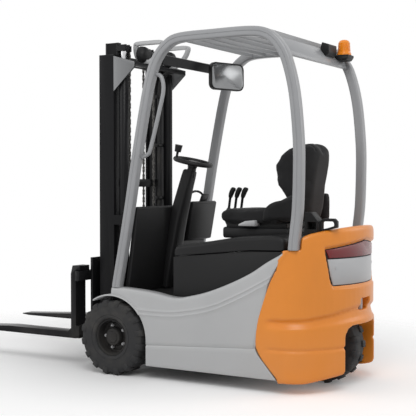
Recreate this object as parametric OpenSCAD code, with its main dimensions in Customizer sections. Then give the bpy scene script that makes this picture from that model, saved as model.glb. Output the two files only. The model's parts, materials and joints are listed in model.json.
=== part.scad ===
// Three-wheel electric counterbalance forklift truck with a two-stage mast, in millimetres.
// +X points at the forks, +Y at the driver's left and +Z up. The modules measure x from the front axle, and
// the last lines move the origin to the middle of the footprint on the floor.

/* [Truck] */
// Front axle to the drive wheel's steering axis
wheelbase = 1190; // [1100:5:1300]
// Steering axis to the tail's end
tail_over = 260; // [245:1:300]
// Half of the width over the side panels
body_half = 485; // [450:1:520]
// Thickness of a side panel, which also carries the guard's posts
panel_t = 73; // [68:1:80]
// Ground clearance under the side panels
ground_gap = 78; // [65:1:95]

/* [Wheels] */
// Tyre radius over the lugs
tyre_r = 228.5; // [222:0.5:231]
// Height of the lugs
lug_h = 9; // [6:1:11]
// Width of a lug round the tyre
lug_w = 38; // [30:1:42]
// Lugs on each side of a tyre
lugs = 16; // [14:1:20]
// Front tyre width
tyre_w = 178; // [165:1:190]
// How far the front tyres stand out of the side panels
tyre_out = 10; // [0:1:20]
// Gap between a front tyre and the mast
mast_gap = 22; // [16:1:30]
// Drive tyre width
drive_w = 150; // [135:1:160]
// Radius of the rims' outer flanges
rim_r = 112; // [105:1:118]
// Gap between a tyre and its arch
arch_gap = 22; // [16:1:26]

/* [Mast] */
// Rear face of the outer rails in front of the axle
rail_x = 115; // [112:1:120]
// Depth of the outer rails, front to back
rail_d = 110; // [100:1:125]
// Top of the outer rails
mast_top = 1960; // [1800:5:2200]
// Height of the inner mast above its lowest place
lift_rest = 85; // [80:1:90]
// Radius of the front axle, which the mast turns on
axle_r = 45; // [42:1:48]

/* [Forks] */
// Front of the outer rails to the front of the fork shanks
carriage_deep = 160; // [155:1:175]
// Length of the blades
fork_len = 1000; // [900:10:1150]
// Width of a blade
fork_w = 100; // [90:1:110]
// Thickness of a blade
fork_t = 40; // [35:1:42]
// Middle of a fork from the truck's middle
fork_y = 338; // [300:1:345]
// Underside of the blades
fork_low = 180; // [178:1:190]

/* [Guard] */
// Middle of a side frame's tube inside the side panel's face
guard_in = 38; // [34:1:42]
// Width of the tube across the truck
tube_w = 56; // [52:1:58]
// Depth of the tube in the side view
tube_d = 56; // [50:1:60]
// Middle of the tube at the roof
roof_z = 2000; // [1900:5:2150]
// Cross slats in the roof
slats = 7; // [5:1:9]

/* [Cab] */
// Thickness of the floor plate
floor_t = 12; // [8:1:14]
// Thickness of the fenders over the tyres
fender_t = 11; // [8:1:14]
// Front of the hood behind the front axle
hood_front = 402; // [380:1:430]
// Width of the lever console beside the seat
console_w = 100; // [85:1:110]
// Steering wheel radius
wheel_r = 128; // [118:1:150]

/* [Hidden] */
$fn = 48;
axle_z = tyre_r;
tail_reach = wheelbase + tail_over;
track_half = body_half + tyre_out;
wheel_y = track_half - tyre_w / 2;
arch_r = tyre_r + arch_gap;
panel_in = body_half - panel_t;
guard_y = body_half - guard_in;
post_in = guard_y - tube_w / 2;
cowl_half = post_in - 7;
mast_half = track_half - tyre_w - mast_gap;
rail_x1 = rail_x + rail_d;
fork_face = rail_x1 + carriage_deep;
origin_x = (fork_face + fork_len - tail_reach) / 2;
floor_z = axle_z + arch_r + fender_t - floor_t;
floor_top = floor_z + floor_t;
deck_z = floor_top + 41;
post_z = 795;
hood_end = 0.945 * wheelbase;
hood_rim = 22;
seat_gap = 55;
console_y = panel_in - hood_rim - console_w / 2;
seat_half = console_y - console_w / 2 - seat_gap;
back_half = seat_half - 35;
inner_top = mast_top - 5 + lift_rest;
bar_x = fork_face - fork_t - 2;
bar_low = fork_low + 20;
bar_high = bar_low + 407;
seat_x = wheelbase * 0.862;
cavity_r = norm([tyre_r, drive_w / 2]) + 20;
tail_r = 600;
plate_r = tail_r - 22;
hinge_x = hood_end + 24;
hinge_z = 806;
steer_z = 1292;
steer_x = 285;
steer_tilt = -13;
pulley_z = inner_top - 38;
pulley_x = rail_x + 31;
pulley_r = 40;
chain_y = mast_half - 160;
chain_low = bar_low + 172;
anchor_z = 966;
barrel_x = rail_x - 47;
barrel_y = mast_half - 45;
barrel_low = axle_z + 84;
barrel_top = mast_top - 80;
rod_low = barrel_low + 22 + lift_rest;
rod_r = 18;
lamp_y = mast_half - 145;
tilt_y = 120;
spindle_r = 35;
drive_pin_r = 30;
tilt_eye = [-22, 435];
tilt_foot = [-330, 418];
// Turn of the mirror towards the driver
mirror_turn = -20;
// Half of the angle that a lug takes up
lug_turn = asin(lug_w / 2 / tyre_r);
// Links in a chain's front and back runs
front_links = 22;
back_links = 14;
// Slope of the tilt cylinders
tilt_pitch = atan2(tilt_eye[1] - tilt_foot[1], tilt_eye[0] - tilt_foot[0]);
tilt_span = norm(tilt_eye - tilt_foot);
// Side-view curves, as fractions of the wheelbase and heights in millimetres
panel_top = curve([[0.004, deck_z], [-0.050, deck_z], [-0.115, deck_z - 3], [-0.236, 516], [-0.371, 493], [-0.469, 511],
    [-0.570, 544], [-0.690, 600], [-0.797, 662], [-0.876, 722], [-0.945, 768], [-0.966, 788]], 4);
seam = curve([[-0.985, 795], [-0.912, 658], [-0.860, 517], [-0.829, 393], [-0.818, 290], [-0.825, 240],
    [-0.861, 174], [-0.928, 90]], 4);
hood_top = [[-hood_front, 791], [-0.487 * wheelbase, 814], [-0.655 * wheelbase, 848],
    [-0.869 * wheelbase, 866], [-hood_end, 858]];
hood_low = [[-hood_front, 726], [-0.532 * wheelbase, 748], [-0.763 * wheelbase, 776],
    [-hood_end, 780]];
guard_path = concat([[-24, deck_z + 0.3]],
    curve([[-24, deck_z + 14], [-72, on_front(0.170)], [-116, on_front(0.326)], [-166, on_front(0.521)],
        [-234, on_front(0.755)], [-275, on_front(0.864)], [-315, on_front(0.925)], [-378, roof_z - 42],
        [-470, roof_z - 3], [-0.588 * wheelbase, roof_z + 2], [-0.782 * wheelbase, roof_z],
        [-wheelbase + 150, roof_z - 22], [-wheelbase + 78, roof_z - 85], [-wheelbase + 30, on_rear(0.856)],
        [-wheelbase - 14, on_rear(0.710)], [-wheelbase - 39, on_rear(0.502)], [-wheelbase - 41, on_rear(0.336)],
        [-wheelbase - 35, on_rear(0.187)], [-wheelbase - 22, on_rear(0.087)], [-wheelbase - 12, post_z + 14]], 3),
    [[-wheelbase - 12, post_z + 0.3]]);
// The roof's front beam from the side, down from the roof's middle line
beam_side = [[-296, -138], [-330, -144], [-352, -92], [-318, -82]];
slat_start = 490;
beacon_y = guard_y - 107;
mirror_at = [-432, -160, roof_z - 168];
// The counterweight's top edge from its front to its tail
tail_top = [[-wheelbase - 0.085 * tail_over, 822], [-wheelbase - 0.281 * tail_over, 874],
    [-wheelbase - 0.558 * tail_over, 901], [-wheelbase - 0.808 * tail_over, 917], [-tail_reach, 924]];

// Heights up a guard's front post and rear post, as fractions of the way from its foot to the roof
function on_front(k) = deck_z + k * (roof_z - deck_z);

function on_rear(k) = post_z + k * (roof_z - post_z);

// A smooth curve through the points p, with n steps from each point to the next
function curve(p, n) = concat([for (i = [0 : len(p) - 2], k = [0 : n - 1])
    let (a = p[max(i - 1, 0)], b = p[i], c = p[i + 1], d = p[min(i + 2, len(p) - 1)], t = k / n)
    (2 * b + (c - a) * t + (2 * a - 5 * b + 4 * c - d) * t * t + (3 * b - a - 3 * c + d) * t * t * t) / 2],
    [p[len(p) - 1]]);

// Points with their x in fractions of the wheelbase, in millimetres
function sized(p) = [for (q = p) [q[0] * wheelbase, q[1]]];

function back_to_front(p) = [for (i = [len(p) - 1 : -1 : 0]) p[i]];

// A side-view outline made solid between two y values
module slab(y0, y1) {
    translate([0, y1, 0])
        rotate([90, 0, 0])
            linear_extrude(y1 - y0)
                children();
}

// A box from its low corner to its high corner
module block(low, high) {
    translate(low)
        cube(high - low);
}

module both() {
    children();
    mirror([0, 1, 0])
        children();
}

// A round bar along Y
module bar_y(r, y0, y1, x, z) {
    translate([x, y1, z])
        rotate([90, 0, 0])
            cylinder(r = r, h = y1 - y0);
}

// A round bar along X
module bar_x_axis(r, x0, x1, y, z) {
    translate([x0, y, z])
        rotate([0, 90, 0])
            cylinder(r = r, h = x1 - x0);
}

// A tube with rounded corners along a side-view path, at y
module tube(path, deep, wide, round_r, y) {
    n = len(path);
    h = deep / 2 - round_r;
    k = wide / 2 - round_r;
    ring = [for (c = [[h, k, 0], [-h, k, 90], [-h, -k, 180], [h, -k, 270]], a = [0, 45, 90])
        [c[0] + round_r * cos(c[2] + a), c[1] + round_r * sin(c[2] + a)]];
    m = len(ring);
    points = [for (i = [0 : n - 1])
        let (d = path[min(i + 1, n - 1)] - path[max(i - 1, 0)], t = d / norm(d))
        for (s = ring) [path[i][0] - t[1] * s[0], y + s[1], path[i][1] + t[0] * s[0]]];
    sides = [for (i = [0 : n - 2], j = [0 : m - 1])
        [i * m + j, i * m + (j + 1) % m, (i + 1) * m + (j + 1) % m, (i + 1) * m + j]];
    polyhedron(points, concat(sides, [[for (j = [m - 1 : -1 : 0]) j], [for (j = [0 : m - 1]) (n - 1) * m + j]]));
}

// Chassis: bottom plate, bulkheads, axle brackets and the tilt cylinders' rear brackets
module chassis_frame() {
    color([0.10, 0.10, 0.11])
        difference() {
            union() {
                block([-wheelbase + cavity_r, -panel_in, ground_gap + 4], [-arch_r - 12, panel_in, ground_gap + 24]);
                block([-arch_r - 12, -mast_half + 10, ground_gap + 4], [-130, mast_half - 10, ground_gap + 24]);
                block([-wheelbase + cavity_r, -panel_in + 28.3, ground_gap + 24],
                    [-wheelbase + cavity_r + 20, panel_in - 28.3, 740]);
                block([-150, -mast_half + 10, ground_gap + 24], [-130, mast_half - 10, 385]);
                both() {
                    block([-130, 92, axle_z - 68.5], [60, 120, axle_z + 71.5]);
                    for (y = [96, 132])
                        block([tilt_foot[0] - 36, y, ground_gap + 24], [tilt_foot[0] + 24, y + 12, tilt_foot[1] + 28]);
                }
            }
            bar_y(axle_r + 0.1, -130, 130, 0, axle_z);
            both()
                bar_y(14, 90, 150, tilt_foot[0], tilt_foot[1]);
        }
}

// Front axle beam with the wheels' spindles
module front_axle() {
    color([0.16, 0.16, 0.17]) {
        bar_y(axle_r, -mast_half - 10, mast_half + 10, 0, axle_z);
        both()
            bar_y(spindle_r, mast_half + 10, track_half - 32, 0, axle_z);
    }
}

// Left side panel: the wall with its wheel arch, and the fender's strip over the tyre
module side_panel() {
    color([0.66, 0.67, 0.69])
        difference() {
            union() {
                slab(panel_in, body_half)
                    difference() {
                        polygon(concat(sized(panel_top), [[-0.985 * wheelbase, post_z]], sized(seam),
                            [[-0.935 * wheelbase, ground_gap], [-arch_r, ground_gap], [-arch_r * 0.7, arch_r + 200],
                            [8, arch_r + axle_z]]));
                        translate([0, axle_z])
                            circle(r = arch_r, $fn = 96);
                    }
                slab(mast_half + 10, body_half + 5)
                    intersection() {
                        difference() {
                            translate([0, axle_z])
                                circle(r = arch_r + fender_t, $fn = 96);
                            translate([0, axle_z])
                                circle(r = arch_r, $fn = 96);
                        }
                        polygon([[0, axle_z], [0.62 * arch_r, axle_z + 0.85 * arch_r], [200, 700], [-300, 700],
                            [-300, axle_z + 0.62 * arch_r]]);
                    }
            }
            translate([0, body_half - 4, 0])
                slab(0, 6)
                    groove();
        }
}

// The pressed lines in a side panel
module groove() {
    for (drop = [0, 24])
        polygon(concat(
            [for (q = curve([[-0.235, 409], [-0.385, 413], [-0.572, 457], [-0.719, 530], [-0.850, 612]], 4))
                [q[0] * wheelbase, q[1] - drop]],
            [for (q = back_to_front(curve([[-0.235, 409], [-0.385, 413], [-0.572, 457], [-0.719, 530],
                [-0.850, 612]], 4))) [q[0] * wheelbase, q[1] - drop + 6]]));
    polygon([[-0.225 * wheelbase, 199], [-0.785 * wheelbase, 239], [-0.785 * wheelbase, 244],
        [-0.225 * wheelbase, 204]]);
}

module side_panel_left() {
    side_panel();
}

module side_panel_right() {
    mirror([0, 1, 0])
        side_panel();
}

// Floor plate with its toe board and two pedals
module floor_plate() {
    color([0.09, 0.09, 0.09]) {
        block([-hood_front, -panel_in, floor_z], [-82, panel_in, floor_top]);
        block([-82, -mast_half - 8, floor_z], [-50, mast_half + 8, floor_top]);
        for (y = [-250, -120])
            slab(y, y + (y < -200 ? 70 : 90))
                polygon([[-150, floor_top], [-130, floor_top], [-165, floor_top + 80], [-182, floor_top + 72]]);
    }
}

// Front cowl between the posts, with the dash box on its right
module dash() {
    color([0.10, 0.10, 0.10]) {
        slab(-cowl_half, cowl_half)
            polygon([[-50, floor_top], [-78, floor_top], [-152, 1005], [-140, 1018], [-122, 1012]]);
        slab(-cowl_half, -110)
            polygon([[-118, 780], [-172, 792], [-216, 1030], [-204, 1042], [-140, 1018]]);
        slab(-cowl_half + 82, -cowl_half + 162)
            polygon([[-165, 1020], [-184, 1026], [-209, 1085], [-196, 1090]]);
    }
}

// Steering column: a wedge off the cowl and the shaft's boss
module steering_column() {
    color([0.10, 0.10, 0.10]) {
        slab(-62, 62)
            polygon([[-82, 500], [-128, 500], [-215, 930], [-262, 1115], [-300, 1236], [-228, 1252], [-190, 1130],
                [-156.1, 1016], [-152, 1005]]);
        translate([-steer_x, 0, steer_z])
            rotate([0, steer_tilt, 0])
                translate([0, 0, -100])
                    cylinder(r = 28, h = 65.7);
    }
}

// Battery, a plain block in its bay
module battery() {
    color([0.20, 0.20, 0.22])
        block([-wheelbase + cavity_r + 32, -panel_in + 36, ground_gap + 24], [-hood_front - 30, panel_in - 36, 715]);
}

// Black covers round the battery bay, under the hood
module battery_covers() {
    low = [for (q = back_to_front(hood_low)) [q[0], q[1] - 0.3]];
    color([0.07, 0.07, 0.07]) {
        both()
            slab(panel_in - 28, panel_in)
                polygon(concat(low, [[-hood_front, floor_top], [-0.371 * wheelbase - 60, 430],
                    [-0.80 * wheelbase, 560], [-0.90 * wheelbase, 690], [-hood_end, 752]]));
        block([-hood_front - 14, -panel_in, floor_top], [-hood_front, panel_in, hood_low[0][1] - 0.3]);
        block([-hood_end - 8, -panel_in, 752], [-hood_end + 4, panel_in, 779.7]);
        both()
            slab(280, 300)
                polygon([[-hood_end + 2, 756], [-hood_end + 2, 778], [-hood_end - 8, 788], [-hinge_x + 8, hinge_z + 8],
                    [-hinge_x - 12, hinge_z + 8], [-hinge_x - 12, 786]]);
        bar_y(8, -290, 290, -hinge_x, hinge_z);
    }
}

// The counterweight's outline in plan, shrunk by an amount
module tail_plan(less) {
    intersection() {
        translate([-tail_reach + tail_r, 0])
            circle(r = tail_r - less, $fn = 128);
        translate([-tail_reach, -body_half + less])
            square([tail_reach, 2 * (body_half - less)]);
    }
}

// The counterweight's outline from the side
module tail_side() {
    polygon(concat([for (q = back_to_front(sized(seam))) [q[0] - 5, q[1]]], [[-0.985 * wheelbase - 5, 800]],
        tail_top, [[-tail_reach, 106], [-wheelbase - 0.808 * tail_over, 94], [-wheelbase - 0.231 * tail_over, 60],
        [-hood_end, 60]]));
}

// Counterweight: cast body with the drive wheel's bay, notch, tail recess and tow jaw
module counterweight() {
    color([0.93, 0.46, 0.10])
        difference() {
            intersection() {
                slab(-body_half, body_half)
                    tail_side();
                union() {
                    linear_extrude(1000)
                        tail_plan(9);
                    intersection() {
                        linear_extrude(400)
                            tail_plan(0);
                        slab(-body_half, body_half)
                            polygon([[0, 0], [0, 300], [-0.82 * wheelbase, 372], [-tail_reach, 396],
                                [-tail_reach, 0]]);
                    }
                }
            }
            translate([-wheelbase, 0, axle_z]) {
                sphere(r = cavity_r);
                translate([0, 0, -axle_z - 1])
                    cylinder(r = cavity_r, h = axle_z + 1);
                translate([0, 0, 150])
                    cylinder(r = 165, h = 118.3);
                translate([0, 0, 250])
                    cylinder(r = 136, h = 270);
            }
            translate([-tail_reach - 20, 0, 0])
                rotate([90, 0, 90])
                    linear_extrude(tail_reach - wheelbase + 20)
                        notch();
            tail_recess(plate_r, 0);
            block([-tail_reach - 10, -62, 440], [-tail_reach + 84, 62, 508]);
            translate([-tail_reach + 45, 0, 410])
                cylinder(r = 15.05, h = 160);
            both()
                block([-wheelbase - 75, post_in - 5, post_z], [-wheelbase + 60, body_half + 5, 940]);
            translate([-0.82 * wheelbase, 0, 404])
                rotate([0, 7.5, 0])
                    linear_extrude(6)
                        difference() {
                            translate([-300 + 0.82 * wheelbase - wheelbase, -600])
                                square([700, 1200]);
                            translate([0.82 * wheelbase, 0])
                                tail_plan(15);
                        }
        }
}

// The wheel's notch in the tail, seen from behind
module notch() {
    for (s = [-1, 1])
        translate([s * 140, 290])
            circle(r = 75);
    translate([-215, -10])
        square([430, 300]);
    translate([-140, -10])
        square([280, 375]);
}

// A curved slot in the tail for the plate, from a radius outwards and shrunk by an amount
module tail_recess(r, less) {
    intersection() {
        translate([-tail_reach + tail_r, 0, 0])
            difference() {
                cylinder(r = tail_r + 20, h = 1000, $fn = 128);
                translate([0, 0, -1])
                    cylinder(r = r, h = 1002, $fn = 128);
            }
        translate([-tail_reach - 30, 0, 0])
            rotate([90, 0, 90])
                linear_extrude(300)
                    polygon([[-292 + less, 588 + less], [292 - less, 588 + less], [330 - less, 800 - less],
                        [0, 842 - less], [-330 + less, 800 - less]]);
    }
}

// Plain plate in the tail's recess
module tail_plate() {
    color([0.72, 0.73, 0.75])
        intersection() {
            difference() {
                tail_recess(plate_r + 0.1, 3);
                translate([-tail_reach + tail_r, 0, 0])
                    difference() {
                        cylinder(r = tail_r + 60, h = 1000, $fn = 128);
                        cylinder(r = plate_r + 8, h = 1000, $fn = 128);
                    }
            }
            block([-tail_reach - 30, -400, 500], [0, 400, 742]);
        }
}

// Dark red strip above the plate
module tail_lamp() {
    color([0.40, 0.05, 0.06])
        intersection() {
            difference() {
                tail_recess(plate_r + 0.1, 3);
                translate([-tail_reach + tail_r, 0, 0])
                    difference() {
                        cylinder(r = tail_r + 60, h = 1000, $fn = 128);
                        cylinder(r = plate_r + 11, h = 1000, $fn = 128);
                    }
            }
            block([-tail_reach - 30, -400, 743], [0, 400, 900]);
        }
}

// Tow pin through the jaw in the tail
module tow_pin() {
    color([0.55, 0.56, 0.58])
        translate([-tail_reach + 45, 0, 412])
            cylinder(r = 15, h = 150);
}

// Battery plug with its loop handle, behind the seat
module battery_plug() {
    y = guard_y - 147;
    top = [for (q = tail_top) [q[0], q[1] + 0.2]];
    color([0.25, 0.25, 0.26]) {
        difference() {
            slab(y - 38, y + 38)
                polygon(concat([top[0], top[1]], [[-wheelbase - 104, lookup(-wheelbase - 104, top)],
                    [-wheelbase - 104, 950], [-wheelbase - 60, 1000], [top[0][0], 1000]]));
            slab(y - 20, y + 45)
                translate([-wheelbase - 90, 905])
                    square([50, 40]);
        }
        slab(y - 15, y + 15)
            difference() {
                polygon(concat([[-wheelbase - 120, 966], [-wheelbase - 104, 950],
                    [-wheelbase - 104, lookup(-wheelbase - 104, top)], top[2], [-wheelbase - 206,
                    lookup(-wheelbase - 206, top)], [-wheelbase - 206, 950], [-wheelbase - 190, 966]]));
                polygon([[-wheelbase - 118, 945], [-wheelbase - 118, 906], [-wheelbase - 150, 914],
                    [-wheelbase - 188, 925], [-wheelbase - 188, 942], [-wheelbase - 180, 950],
                    [-wheelbase - 126, 950]]);
            }
    }
}

// Overhead guard's left side frame with the driver's grab handle
module guard_left() {
    color([0.66, 0.67, 0.69]) {
        tube(guard_path, tube_d, tube_w, 16, guard_y);
        tube(curve([[-270, on_front(0.864)], [-330, on_front(0.854)], [-348, on_front(0.800)],
            [-318, on_front(0.714)], [-258, on_front(0.571)], [-236, on_front(0.544)], [-180, on_front(0.528)]], 3),
            24, 24, 10, guard_y - 12);
    }
}

module guard_right() {
    color([0.66, 0.67, 0.69])
        mirror([0, 1, 0])
            tube(guard_path, tube_d, tube_w, 16, guard_y);
}

// Dark beam across the front of the roof
module roof_front_beam() {
    color([0.16, 0.16, 0.17])
        slab(-post_in, post_in)
            translate([0, roof_z])
                polygon(beam_side);
}

// Roof slats and the rear cross member
module roof() {
    slat_run = wheelbase - 170 - slat_start;
    color([0.66, 0.67, 0.69]) {
        for (i = [0 : slats - 1])
            slab(-post_in, post_in)
                translate([-slat_start - i * slat_run / (slats - 1), roof_z - 22])
                    square([12, 38]);
        slab(-post_in, post_in)
            translate([-wheelbase, roof_z])
                polygon([[70, -105], [54, -140], [40, -136], [56, -95], [104, -32], [114, -42]]);
    }
}

// Mirror on the roof's front beam: housing on a bent arm
module mirror_housing() {
    color([0.08, 0.08, 0.08]) {
        translate(mirror_at)
            rotate([0, 0, mirror_turn])
                difference() {
                    slab_x(-18, 12)
                        rounded(270, 172, 40);
                    slab_x(-30, -12)
                        rounded(254, 156, 34);
                }
        slab(mirror_at[1] - 30, mirror_at[1] - 6)
            translate([0, roof_z])
                polygon([[-440, -122], beam_side[1] + [-9.6, 22], beam_side[2] + [-3.7, -8], [-440, -100]]);
    }
}

// An outline in the Y and Z directions made solid between two x values
module slab_x(x0, x1) {
    translate([x0, 0, 0])
        rotate([90, 0, 90])
            linear_extrude(x1 - x0)
                children();
}

// A rectangle with rounded corners, as two squares and four circles
module rounded(wide, high, r) {
    square([wide - 2 * r, high], center = true);
    square([wide, high - 2 * r], center = true);
    for (a = [-1, 1], b = [-1, 1])
        translate([a * (wide / 2 - r), b * (high / 2 - r)])
            circle(r = r);
}

module mirror_glass() {
    color([0.85, 0.87, 0.88])
        translate(mirror_at)
            rotate([0, 0, mirror_turn])
                slab_x(-16, -12)
                    rounded(253.8, 155.8, 33.9);
}

// Black lamp box and the beacon's foot on the rear cross member
module beacon_base() {
    color([0.08, 0.08, 0.08])
        translate([-wheelbase, 0, roof_z]) {
            slab(-beacon_y - 45, -beacon_y + 45)
                polygon([[104, -31.7], [56, -94.7], [0, -95], [-16, -75], [-16, -60.3], [78, -60.3], [92, -28]]);
            slab(-beacon_y + 90, -beacon_y + 210)
                polygon([[98, -39.4], [62, -86.6], [40, -65], [40, -15], [85, 0]]);
        }
}

// Amber beacon
module beacon_lens() {
    color([0.95, 0.45, 0.02])
        translate([-wheelbase + 30, -beacon_y, roof_z - 60]) {
            cylinder(r = 44, h = 12);
            translate([0, 0, 12])
                cylinder(r1 = 40, r2 = 34, h = 84);
        }
}

// Hood lid over the battery, hollow below
module hood_lid() {
    color([0.07, 0.07, 0.07])
        difference() {
            union() {
                slab(-panel_in, panel_in)
                    polygon(concat(hood_top, back_to_front(hood_low)));
                both() {
                    bar_y(14, 180, 260, -hinge_x, hinge_z);
                    block([-hinge_x, 180, hinge_z + 2], [-hood_end + 4, 260, hinge_z + 14]);
                }
            }
            bar_y(8.05, -300, 300, -hinge_x, hinge_z);
            slab(-panel_in + hood_rim, panel_in - hood_rim)
                polygon(concat([for (q = hood_top) [q[0] * 0.985 - 4, q[1] - 18]],
                    [[-0.925 * wheelbase, 700], [-hood_front - 16, 700]]));
        }
}

// Seat base with its suspension box, on the hood
module seat_base() {
    color([0.05, 0.05, 0.05])
        slab(-seat_half + 40, seat_half - 40)
            polygon([[-0.545 * wheelbase, lookup(-0.545 * wheelbase, hood_top)],
                [-0.655 * wheelbase, 848], [-0.869 * wheelbase, 866], [-0.886 * wheelbase, 930],
                [-0.52 * wheelbase, 930]]);
}

// Seat cushion
module seat_cushion() {
    color([0.04, 0.04, 0.04])
        slab(-seat_half, seat_half)
            polygon(concat(curve([[-0.50 * wheelbase, 930], [-0.489 * wheelbase, 962], [-0.505 * wheelbase, 990],
                [-0.62 * wheelbase, 1002], [-0.78 * wheelbase, 1012], [-seat_x, 1026]], 3), [[-seat_x, 930]]));
}

// Seat back, padded out at its sides
module seat_back() {
    face = [[-seat_x - 0.3, 1032], [-seat_x + 24, 1064], [-seat_x + 74, 1150], [-seat_x + 88, 1262],
        [-seat_x + 34, 1358], [-seat_x - 56, 1399], [-seat_x - 150, 1399], [-seat_x - 190, 1340],
        [-seat_x - 176, 1150], [-seat_x - 140, 1010], [-seat_x - 90, 940]];
    color([0.04, 0.04, 0.04])
        difference() {
            slab(-back_half, back_half)
                polygon(concat([[-seat_x - 0.3, 930]], curve(face, 3)));
            slab(-back_half + 70, back_half - 70)
                polygon([[-seat_x + 200, 1075], [-seat_x - 16, 1075], [-seat_x + 28, 1180], [-seat_x + 40, 1262],
                    [-seat_x + 10, 1330], [-seat_x + 60, 1420], [-seat_x + 300, 1420]]);
        }
}

// Console beside the seat with the three mast levers
module lever_console() {
    color([0.07, 0.07, 0.07]) {
        slab(-console_y - console_w / 2, -console_y + console_w / 2)
            polygon([[-hood_front - 4, lookup(-hood_front - 4, hood_top)], [-0.487 * wheelbase, 814],
                [-0.52 * wheelbase, lookup(-0.52 * wheelbase, hood_top)], [-0.52 * wheelbase, 955],
                [-hood_front + 70, 970], [-hood_front + 70, 930]]);
        for (i = [0 : 2])
            translate([-hood_front + 44 - i * 46, -console_y + 22, 940])
                rotate([0, -8, 0]) {
                    cylinder(r = 9, h = 140);
                    translate([0, 0, 130])
                        cylinder(r1 = 14, r2 = 17, h = 56);
                }
    }
}

// Steering wheel with its spinner knob
module steering_wheel() {
    color([0.06, 0.06, 0.06])
        translate([-steer_x, 0, steer_z])
            rotate([0, steer_tilt, 0]) {
                rotate_extrude($fn = 64)
                    translate([wheel_r - 14, 0])
                        circle(r = 14);
                translate([0, 0, -34])
                    cylinder(r = 30, h = 40);
                for (a = [0, 120, 240])
                    rotate([0, 0, a + 30])
                        translate([20, -12, -9])
                            cube([wheel_r - 38, 24, 10]);
                rotate([0, 0, 30])
                    translate([wheel_r - 20, 0, 6]) {
                        cylinder(r = 8, h = 40);
                        translate([0, 0, 38])
                            cylinder(r1 = 20, r2 = 24, h = 44);
                    }
            }
}

// Drive turret: slew ring, gear arm beside the wheel, wheel spindle and the upright motor
module drive_turret() {
    color([0.14, 0.14, 0.15])
        translate([-wheelbase, 0, 0]) {
            translate([0, 0, axle_z + 242])
                cylinder(r = 150, h = 26);
            translate([0, 0, axle_z + 268])
                cylinder(r = 118, h = 230);
            block([-70, -drive_w / 2 - 42, axle_z - 60], [70, -drive_w / 2 - 12, axle_z + 245]);
            bar_y(70, -drive_w / 2 - 42, -drive_w / 2 - 12, 0, axle_z);
            bar_y(drive_pin_r, -drive_w / 2 - 14, drive_w / 2 - 20, 0, axle_z);
        }
}

// Outline of a ring of lugs, turned by a share of their pitch: four points a lug, its top flat on the tyre's radius
function lug_ring(share) = [for (i = [0 : lugs - 1], k = [0 : 3])
    let (a = (i + share) * 360 / lugs + [-1, -0.8, 0.8, 1][k] * lug_turn,
        r = [tyre_r - lug_h, tyre_r / cos(0.8 * lug_turn), tyre_r / cos(0.8 * lug_turn), tyre_r - lug_h][k])
        r * [cos(a), sin(a)]];

// A tyre about Y with its middle at the origin, with lugs over both shoulders in turn
module tyre(wide) {
    rotate([90, 0, 0])
        difference() {
            union() {
                cylinder(r = tyre_r - lug_h - 3, h = wide * 0.4, center = true);
                for (side = [0, 1])
                    mirror([0, 0, side])
                        translate([0, 0, wide * 0.1])
                            linear_extrude(wide * 0.4)
                                polygon(lug_ring(side / 2));
            }
            cylinder(r = rim_r + 0.1, h = wide + 2, center = true);
        }
}

// A rim about Y with its outer side at +Y: barrel, dished disc, hub and five nuts
module rim(wide, bore) {
    rotate([-90, 0, 0])
        difference() {
            union() {
                difference() {
                    translate([0, 0, -wide / 2 + 14])
                        cylinder(r = rim_r, h = wide - 28, $fn = 96);
                    translate([0, 0, -wide / 2])
                        cylinder(r = rim_r - 14, h = wide / 2 - 10, $fn = 96);
                    translate([0, 0, 16])
                        cylinder(r = rim_r - 14, h = wide, $fn = 96);
                }
                translate([0, 0, -wide / 2 + 20])
                    cylinder(r = bore + 22, h = wide - 46);
                for (a = [0 : 72 : 288])
                    rotate([0, 0, a])
                        translate([rim_r - 42, 0, 14])
                            cylinder(r = 13, h = 18, $fn = 6);
            }
            translate([0, 0, -wide])
                cylinder(r = bore, h = 2 * wide);
        }
}

module drive_tyre() {
    color([0.05, 0.05, 0.05])
        translate([-wheelbase, 0, axle_z])
            tyre(drive_w);
}

module drive_rim() {
    color([0.10, 0.10, 0.10])
        translate([-wheelbase, 0, axle_z])
            rim(drive_w, drive_pin_r + 0.05);
}

module front_tyre_left() {
    color([0.05, 0.05, 0.05])
        translate([0, wheel_y, axle_z])
            tyre(tyre_w);
}

module front_tyre_right() {
    color([0.05, 0.05, 0.05])
        translate([0, -wheel_y, axle_z])
            tyre(tyre_w);
}

module front_rim_left() {
    color([0.10, 0.10, 0.10])
        translate([0, wheel_y, axle_z])
            rim(tyre_w, spindle_r + 0.05);
}

module front_rim_right() {
    color([0.10, 0.10, 0.10])
        mirror([0, 1, 0])
            translate([0, wheel_y, axle_z])
                rim(tyre_w, spindle_r + 0.05);
}

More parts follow.
